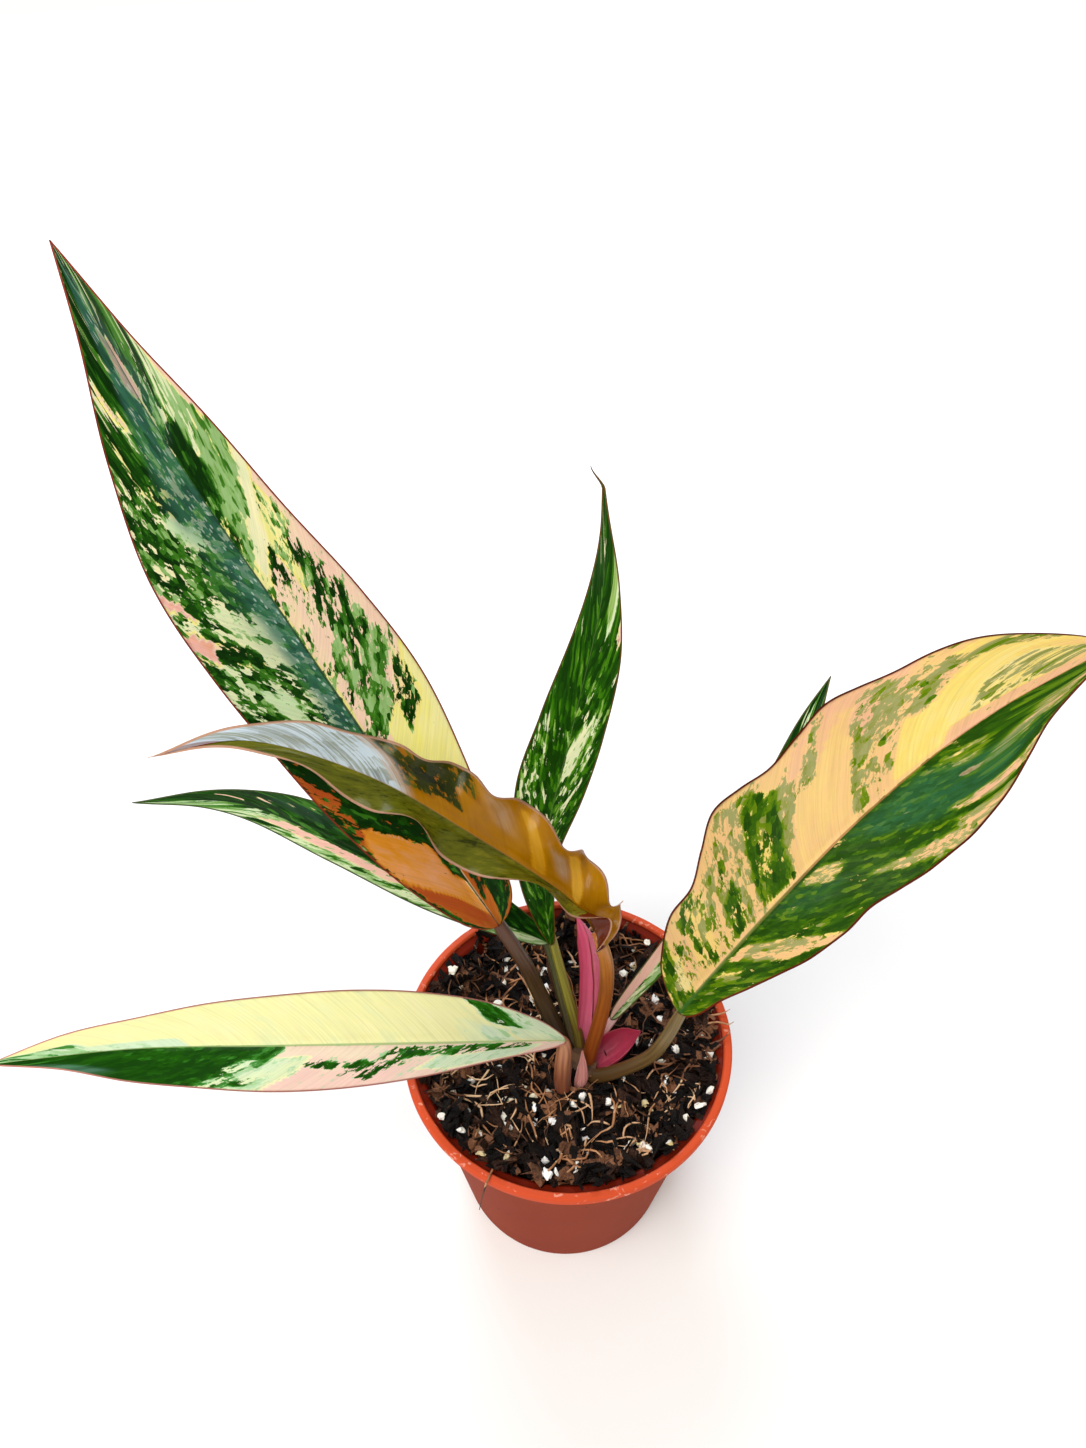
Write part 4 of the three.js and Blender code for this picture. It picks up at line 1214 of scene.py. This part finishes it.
def pot_material():
    material, tree, shader = new_material("moulded_polypropylene")
    spot = add(tree, "TexCoord", {})[3]
    place = add(tree, "SeparateXYZ", {0: spot})
    flat = add(tree, "CombineXYZ", {0: place[0], 1: place[1]})[0]
    radius = add(tree, "VectorMath", {0: flat}, operation="LENGTH")[1]
    # painted light: the lip is painted brighter than the wall, where light falls on its top
    height = add(tree, "MapRange", {0: place[2], 1: LIP_FROM, 2: 0.0966})[0]
    outer = add(tree, "MapRange", {0: radius, 1: 0.0566, 2: 0.0572})[0]
    lip = add(tree, "Math", {0: height, 1: outer}, operation="MULTIPLY")[0]
    cloud = add(tree, "TexNoise", {"Vector": spot, "Scale": 22.0, "Detail": 3.0})[0]
    wall = add(tree, "ValToRGB", {0: cloud}, stops=[(0.3, "#88321a"), (0.7, "#92391d")])[0]
    skin = add(tree, "Mix", {0: lip, 6: wall, 7: "#cc4f2d"}, data_type="RGBA")[2]
    inner = inner_wall(tree, place, height, radius)
    # painted shade: the wall inside the pot above the soil is painted a deeper red
    skin = add(tree, "Mix", {0: inner, 6: skin, 7: "#68170a"}, data_type="RGBA")[2]
    # painted highlights: light marks on the lip, which also stand for scuffs
    glint_and_scuff = {"Vector": spot, "Scale": 260.0, "Detail": 2.0, "Distortion": 1.5}
    glint_and_scuff = add(tree, "TexNoise", glint_and_scuff)[0]
    glint_and_scuff = add(tree, "MapRange", {0: glint_and_scuff, 1: 0.63, 2: 0.7, 3: 0.0, 4: 0.55})[0]
    glint_and_scuff = add(tree, "Math", {0: glint_and_scuff, 1: lip}, operation="MULTIPLY")[0]
    skin = add(tree, "Mix", {0: glint_and_scuff, 6: skin, 7: "#f2b09a"}, data_type="RGBA")[2]
    speck = add(tree, "TexVoronoi", {"Vector": spot, "Scale": 95.0, "Randomness": 1.0})[0]
    speck = add(tree, "MapRange", {0: speck, 1: 0.06, 2: 0.04, 3: 0.0, 4: 0.8})[0]
    skin = add(tree, "Mix", {0: speck, 6: skin, 7: "#4a2318"}, data_type="RGBA")[2]
    rough = add(tree, "MapRange", {0: cloud, 1: 0.3, 2: 0.7, 3: 0.42, 4: 0.55})[0]
    grain = add(tree, "TexNoise", {"Vector": spot, "Scale": 1400.0, "Detail": 1.0})[0]
    bump = add(tree, "Bump", {"Strength": 0.12, "Distance": 0.0001, "Height": grain})[0]
    wire(tree, shader, {"Base Color": skin, "Roughness": rough, "Normal": bump, "IOR": 1.49})
    wire(tree, shader, {"Specular IOR Level": 0.0, "Coat Weight": 0.15, "Coat Roughness": 0.3})
    return material


pot = write_mesh(pot_mesh, "nursery_pot", pot_material())
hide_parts("pot")

# %% [markdown]
# Water leaves through eight holes in the channel under the pot. They are cut with a Boolean
# modifier: its cutter is eight short rods in one mesh. The modified mesh then replaces the first
# one, and the cutter goes. Last, a Bevel modifier gives the sharp rings of the lip and the foot the
# small radii that a mould has.

# %% Drain holes and mould radii
HOLES, HOLE_RADIUS, HOLES_AT = 8, 4, 26
rods = bmesh.new()
for i in range(HOLES):
    turn = Matrix.Rotation((i + 0.5) * math.tau / HOLES, 4, "Z")
    turn = turn @ Matrix.Translation((HOLES_AT * MM, 0, 1 * MM))
    bmesh.ops.create_cone(
        rods, cap_ends=True, segments=32, radius1=HOLE_RADIUS * MM, radius2=HOLE_RADIUS * MM,
        depth=12 * MM, matrix=turn,
    )
rod_mesh = bpy.data.meshes.new("drain_rods")
rods.to_mesh(rod_mesh)
rods.free()
cutter = bpy.data.objects.new("drain_rods", rod_mesh)
bpy.context.scene.collection.objects.link(cutter)
cut = pot.modifiers.new("drain holes", "BOOLEAN")
cut.object, cut.operation, cut.solver = cutter, "DIFFERENCE", "EXACT"
bpy.context.view_layer.update()
drilled = pot.evaluated_get(bpy.context.evaluated_depsgraph_get())
pierced = bpy.data.meshes.new_from_object(drilled)
pot.modifiers.clear()
pot.data = pierced
bpy.data.objects.remove(cutter)
rounding = pot.modifiers.new("mould radii", "BEVEL")
rounding.width, rounding.segments = 0.25 * MM, 2
rounding.limit_method, rounding.angle_limit = "ANGLE", 0.6
for polygon in pot.data.polygons:
    polygon.use_smooth = polygon.area < 1e-3
print("pot after drilling:", len(pot.data.polygons), "faces")

# %% [markdown]
# ## Potting mix
# Aroids grow in a loose mix of bark chips, white perlite and coconut fibre. The packed soil stays as
# the dark bed, and the stem stays as it is. All of it is broken organic matter, dull and damp, whose
# colour changes from chip to chip. A Voronoi pattern gives the chips, and a noise bends its edges.

# %% Broken organic matter
def soil_material(name, stops, grain, roughness=0.8, bump_depth=0.0006, gloss=0.5):
    """The colour changes from chip to chip, over about 1/grain metres."""
    material, tree, shader = new_material(name)
    spot = add(tree, "TexCoord", {})[3]
    bent = add(tree, "TexNoise", {"Vector": spot, "Scale": grain * 2, "Detail": 2.0})[1]
    reach = (0.6 / grain,) * 3
    wobble = add(tree, "VectorMath", {0: bent, 1: reach, 2: spot}, operation="MULTIPLY_ADD")[0]
    chips = add(tree, "TexVoronoi", {"Vector": wobble, "Scale": float(grain)})[1]
    shade = add(tree, "SeparateColor", {0: chips})[0]
    fine = {"Vector": spot, "Scale": grain * 8, "Detail": 4.0, "Roughness": 0.7}
    fine = add(tree, "TexNoise", fine)[0]
    shade = add(tree, "Math", {0: fine, 1: 0.5, 2: shade}, operation="MULTIPLY_ADD")[0]
    shade = add(tree, "Math", {0: shade, 1: 0.25}, operation="SUBTRACT")[0]
    skin = add(tree, "ValToRGB", {0: shade}, stops=stops)[0]
    bump = add(tree, "Bump", {"Strength": 0.9, "Distance": bump_depth, "Height": fine})[0]
    wire(tree, shader, {"Base Color": skin, "Roughness": roughness, "Normal": bump})
    wire(tree, shader, {"Specular IOR Level": gloss})
    return material


BARK = [(0.0, "#040202"), (0.55, "#120b08"), (0.8, "#321e16"), (1.0, "#8e6044")]
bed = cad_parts["soil"]
bed.data.materials.clear()
bed.data.materials.append(soil_material("damp_bark_bed", BARK, 180, gloss=0.1))
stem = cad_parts["stem"]
stem.data.materials.clear()
CORK = [(0.0, "#4a3424"), (1.0, "#7a5a3c")]
stem.data.materials.append(soil_material("corky_stem", CORK, 300))
print("new skins on", bed.name, "and", stem.name)

# %% [markdown]
# ## Where the loose pieces lie
# On the bed lie the pieces that the eye picks out. A physics simulation could drop them, but it is
# slow and hard to steer. A seeded rule spreads them evenly, like the seeds of a sunflower,
# and sets each on the bed's own surface. Towards the wall the mix is banked up.

# %% Ground and scatter
SOIL_LEVEL, SOIL_EDGE = 91, 52.4
BANK_HEIGHT, BANK_FROM, BANK_TO = 5.6, 42, 53  # mm, and the radii between which the mix rises
CROWN = [((4, -9), 8), ((12, -8), 8), ((20, -4), 8), ((4, 5), 4)]  # where the plant itself stands
GOLDEN_ANGLE = 2.39996
draw = random.Random(11)


def ground_height(x, y):
    edge = SOIL_EDGE + 0.4 - math.hypot(x, y)
    waves = math.sin(0.16 * x + 1) * math.cos(0.13 * y) + 0.6 * math.sin(0.23 * y - 0.11 * x)
    return SOIL_LEVEL - 0.035 * y + 0.9 * waves * smooth(1, 8, edge)


def bank_height(radius):
    return BANK_HEIGHT * smooth(BANK_FROM, BANK_TO, radius)


def scatter(count, reach=54.5):
    """Seeded spots on the bed, spread evenly, that keep off the plant."""
    for i in range(count):
        radius = reach * math.sqrt((i + 0.5) / count)
        angle = i * GOLDEN_ANGLE + 0.6 * draw.random()
        spot = Vector((radius * math.cos(angle), radius * math.sin(angle)))
        if all((spot - Vector(centre)).length > gap for centre, gap in CROWN):
            yield spot


def within_pot(point):
    """Keeps a point in mm clear of the pot's wall, which steps outwards above 97.5 mm."""
    wall = 56 if point.z > 98 else SOIL_EDGE + 0.12 * (point.z - SOIL_LEVEL)
    reach = math.hypot(point.x, point.y)
    if reach > wall:
        point.x, point.y = point.x * wall / reach, point.y * wall / reach
    return point


# %% [markdown]
# ## Bark and perlite
# Each kind is one mesh of many small shapes with only a few faces, because they are repeated
# hundreds of times. A chip and a grain start as a ball of triangles that noise knocks out of shape,
# and a splinter starts as a thin cone that is bent. Each is turned, tilted and partly sunk.

# %% Small solids
def nugget(bm):
    return bmesh.ops.create_icosphere(bm, subdivisions=1, radius=0.5)["verts"]


def grain(bm):
    return bmesh.ops.create_icosphere(bm, subdivisions=2, radius=0.5)["verts"]


def splinter(bm):
    lying = Matrix.Rotation(math.pi / 2, 4, "Y")
    return bmesh.ops.create_cone(
        bm, cap_ends=True, segments=5, radius1=0.5, radius2=0.06, depth=1, matrix=lying
    )["verts"]


def lumps(shape, count, sizes, roughness, sunk, tilt, seed, curl=0.0):
    """Many small solids on the bed. Sizes are ranges of length, width and height in mm."""
    bm = bmesh.new()
    for spot in scatter(count):
        size = [draw.uniform(*pair) for pair in sizes]
        turn = Matrix.Rotation(draw.uniform(0, math.tau), 3, "Z")
        turn = turn @ Matrix.Rotation(draw.gauss(0, tilt), 3, "Y")
        turn = turn @ Matrix.Rotation(draw.gauss(0, 0.6), 3, "X")
        bow = draw.uniform(0.2, 1) * curl * size[0]
        height = ground_height(*spot) + bank_height(spot.length) + size[2] * sunk
        base = Vector((spot.x, spot.y, height))
        for vert in shape(bm):
            where = vert.co * 2.3 + Vector((spot.x, spot.y, seed)) * 7.7
            bulge = 1 + roughness * noise.noise(where)
            local = Vector([c * s * bulge for c, s in zip(vert.co, size)])
            local.y += bow * (local.x / size[0]) ** 2
            vert.co = within_pot(base + turn @ local) * MM
    return bm


# %% [markdown]
# Shredded bark is damp, so it is a little glossier than the bed under it. Perlite is volcanic glass
# blown up with steam: chalk white, with creamy stains from the tannin in the bark.

# %% Bark chips and perlite
bark_skin = soil_material("shredded_bark", BARK, 230, roughness=0.34, gloss=0.16)
chips = lumps(nugget, 620, [(4.5, 11), (2.8, 6), (2, 4)], 1.4, 0.2, 0.4, 1)
bark = write_mesh(chips, "bark_chips", bark_skin, smooth_faces=False)
chips = lumps(splinter, 1000, [(6, 16), (1.8, 4.4), (0.8, 1.9)], 0.7, 1.4, 0.42, 5, curl=0.8)
shreds = write_mesh(chips, "bark_splinters", bark_skin, smooth_faces=False)
print("bark:", len(bark.data.polygons) + len(shreds.data.polygons), "faces")

PERLITE = [(0.0, "#cdb678"), (0.3, "#e9e2cf"), (0.6, "#fbf8f0"), (1.0, "#ffffff")]
perlite_skin = soil_material("expanded_perlite", PERLITE, 70, bump_depth=0.0002)
chips = lumps(grain, 150, [(1.2, 4.6), (1.2, 3.8), (1.2, 3.2)], 0.9, 0.95, 0.4, 2)
perlite = write_mesh(chips, "perlite_grains", perlite_skin, smooth_faces=False)
print("perlite:", len(perlite.data.polygons), "faces")

# %% [markdown]
# ## Coconut fibres
# The fibres are coconut husk: dry, springy strands, bent in one or two easy curves. Real ones are
# under half a millimetre thick, and these are about one at most, so that they show. Each is the
# rolled-up grid again, four faces round. A few loose ones are placed one by one: a straw hangs over
# the lip in front, and root tips stand over it on the right.

# %% Coconut fibres
LOOSE = [
    [(-23, -43, 97), (-26.6, -51.7, 101), (-28.6, -57.5, 100.6), (-30, -60.8, 95)],
    [(49, 5, 97.5), (55, 5, 100.2), (59, 3, 102), (61, 3.5, 103)],
    [(50, -3, 97.5), (56, -2.5, 100.6), (59.6, 0.5, 102)],
    [(51, 9, 97.5), (57, 8, 100.8), (60.6, 9.5, 101.6)],
]
HOVER = 3.1  # mm from the bed to a strand, which lies on the chips


def add_strand(bm, path, width):
    """One strand, thickest in the middle."""

    def radius_at(t, angle):
        return width * (0.35 + 0.65 * math.sin(math.pi * min(t + 0.15, 1)))

    rolled(path, radius_at, 8, 4, bm)


def fibre_bed(count, lengths, thickness):
    bm = bmesh.new()
    for spot in scatter(count, 52):
        length, heading = draw.uniform(*lengths), draw.uniform(0, math.tau)
        path, x, y = [], spot.x, spot.y
        for step in range(5):
            rise = 1 if step in (1, 3) else (2.4 * draw.random() ** 3 if step == 2 else 0)
            height = ground_height(x, y) + bank_height(math.hypot(x, y)) + (HOVER + rise)
            path.append(within_pot(Vector((x, y, height))))
            heading += draw.gauss(0, 0.45)
            x, y = x + length / 4 * math.cos(heading), y + length / 4 * math.sin(heading)
            if math.hypot(x, y) > SOIL_EDGE - 2:  # turns back from the wall
                x, y = x * 0.96, y * 0.96
                heading += 2.2
        add_strand(bm, path, thickness * draw.uniform(0.5, 1.4))
    for path in LOOSE:
        add_strand(bm, path, 0.42)
    return bm


FIBRE = [(0.0, "#3a2214"), (0.4, "#80502f"), (0.7, "#bc8458"), (1.0, "#ecc8a0")]
fibre_skin = soil_material("coconut_fibre", FIBRE, 60, 0.6)
fibres = write_mesh(fibre_bed(250, (7, 20), 0.4), "coir_fibres", fibre_skin)
print("fibres:", len(fibres.data.polygons), "faces")

# %% [markdown]
# ## Studio
# The photograph looks down at 45 degrees through a moderately wide lens, from about half a metre.
# The floor is white paper, which has no gloss.

# %% Camera and floor
view = bpy.data.cameras.new("camera")
view.lens, view.sensor_width, view.sensor_fit = 27, 36, "AUTO"
camera = bpy.data.objects.new("camera", view)
camera.location = (-0.009, -0.201, 0.462)
camera.rotation_euler = (math.radians(45), 0, 0)
bpy.context.scene.collection.objects.link(camera)
bpy.context.scene.camera = camera

sheet = bmesh.new()
bmesh.ops.create_grid(sheet, x_segments=1, y_segments=1, size=4)
floor_mesh = bpy.data.meshes.new("floor")
sheet.to_mesh(floor_mesh)
sheet.free()
floor = bpy.data.objects.new("floor", floor_mesh)
bpy.context.scene.collection.objects.link(floor)
paper, paper_tree, paper_shader = new_material("white_paper")
matt = {"Base Color": "#f6f6f6", "Roughness": 0.95, "Specular IOR Level": 0.1}
wire(paper_tree, paper_shader, matt)
floor_mesh.materials.append(paper)
print("camera at", tuple(round(c, 3) for c in camera.location))

# %% [markdown]
# The light is even and bright: a white sky, a very wide sun for the soft shadows, and a disc behind
# the plant that puts the bluish gloss on the upper sides of the blades.

# %% Light
world = bpy.data.worlds.new("soft sky")
bpy.context.scene.world = world
world.use_nodes = True
sky = world.node_tree.nodes["Background"]
wire(world.node_tree, sky, {"Color": "#ffffff", "Strength": 0.5})


def soft_lamp(name, kind, spot, target, energy, colour, **settings):
    lamp = bpy.data.lights.new(name, kind)
    lamp.energy, lamp.color = energy, linear(colour)[:3]
    for setting, value in settings.items():
        setattr(lamp, setting, value)
    holder = bpy.data.objects.new(name, lamp)
    holder.location = spot
    holder.rotation_euler = (Vector(target) - Vector(spot)).to_track_quat("-Z", "Y").to_euler()
    bpy.context.scene.collection.objects.link(holder)


soft_lamp(
    "diffused daylight", "SUN", (-0.35, -0.5, 1), (0, 0, 0), 2.3, "#fffaf2", angle=math.radians(40)
)
soft_lamp(
    "window behind", "AREA", (-0.3, 1.0, 1.3), (0, 0, 0.15), 12, "#e8f1ff", shape="DISK", size=0.9
)
bpy.context.scene.view_settings.view_transform = "Standard"
print("lights:", [lamp.name for lamp in bpy.data.lights])
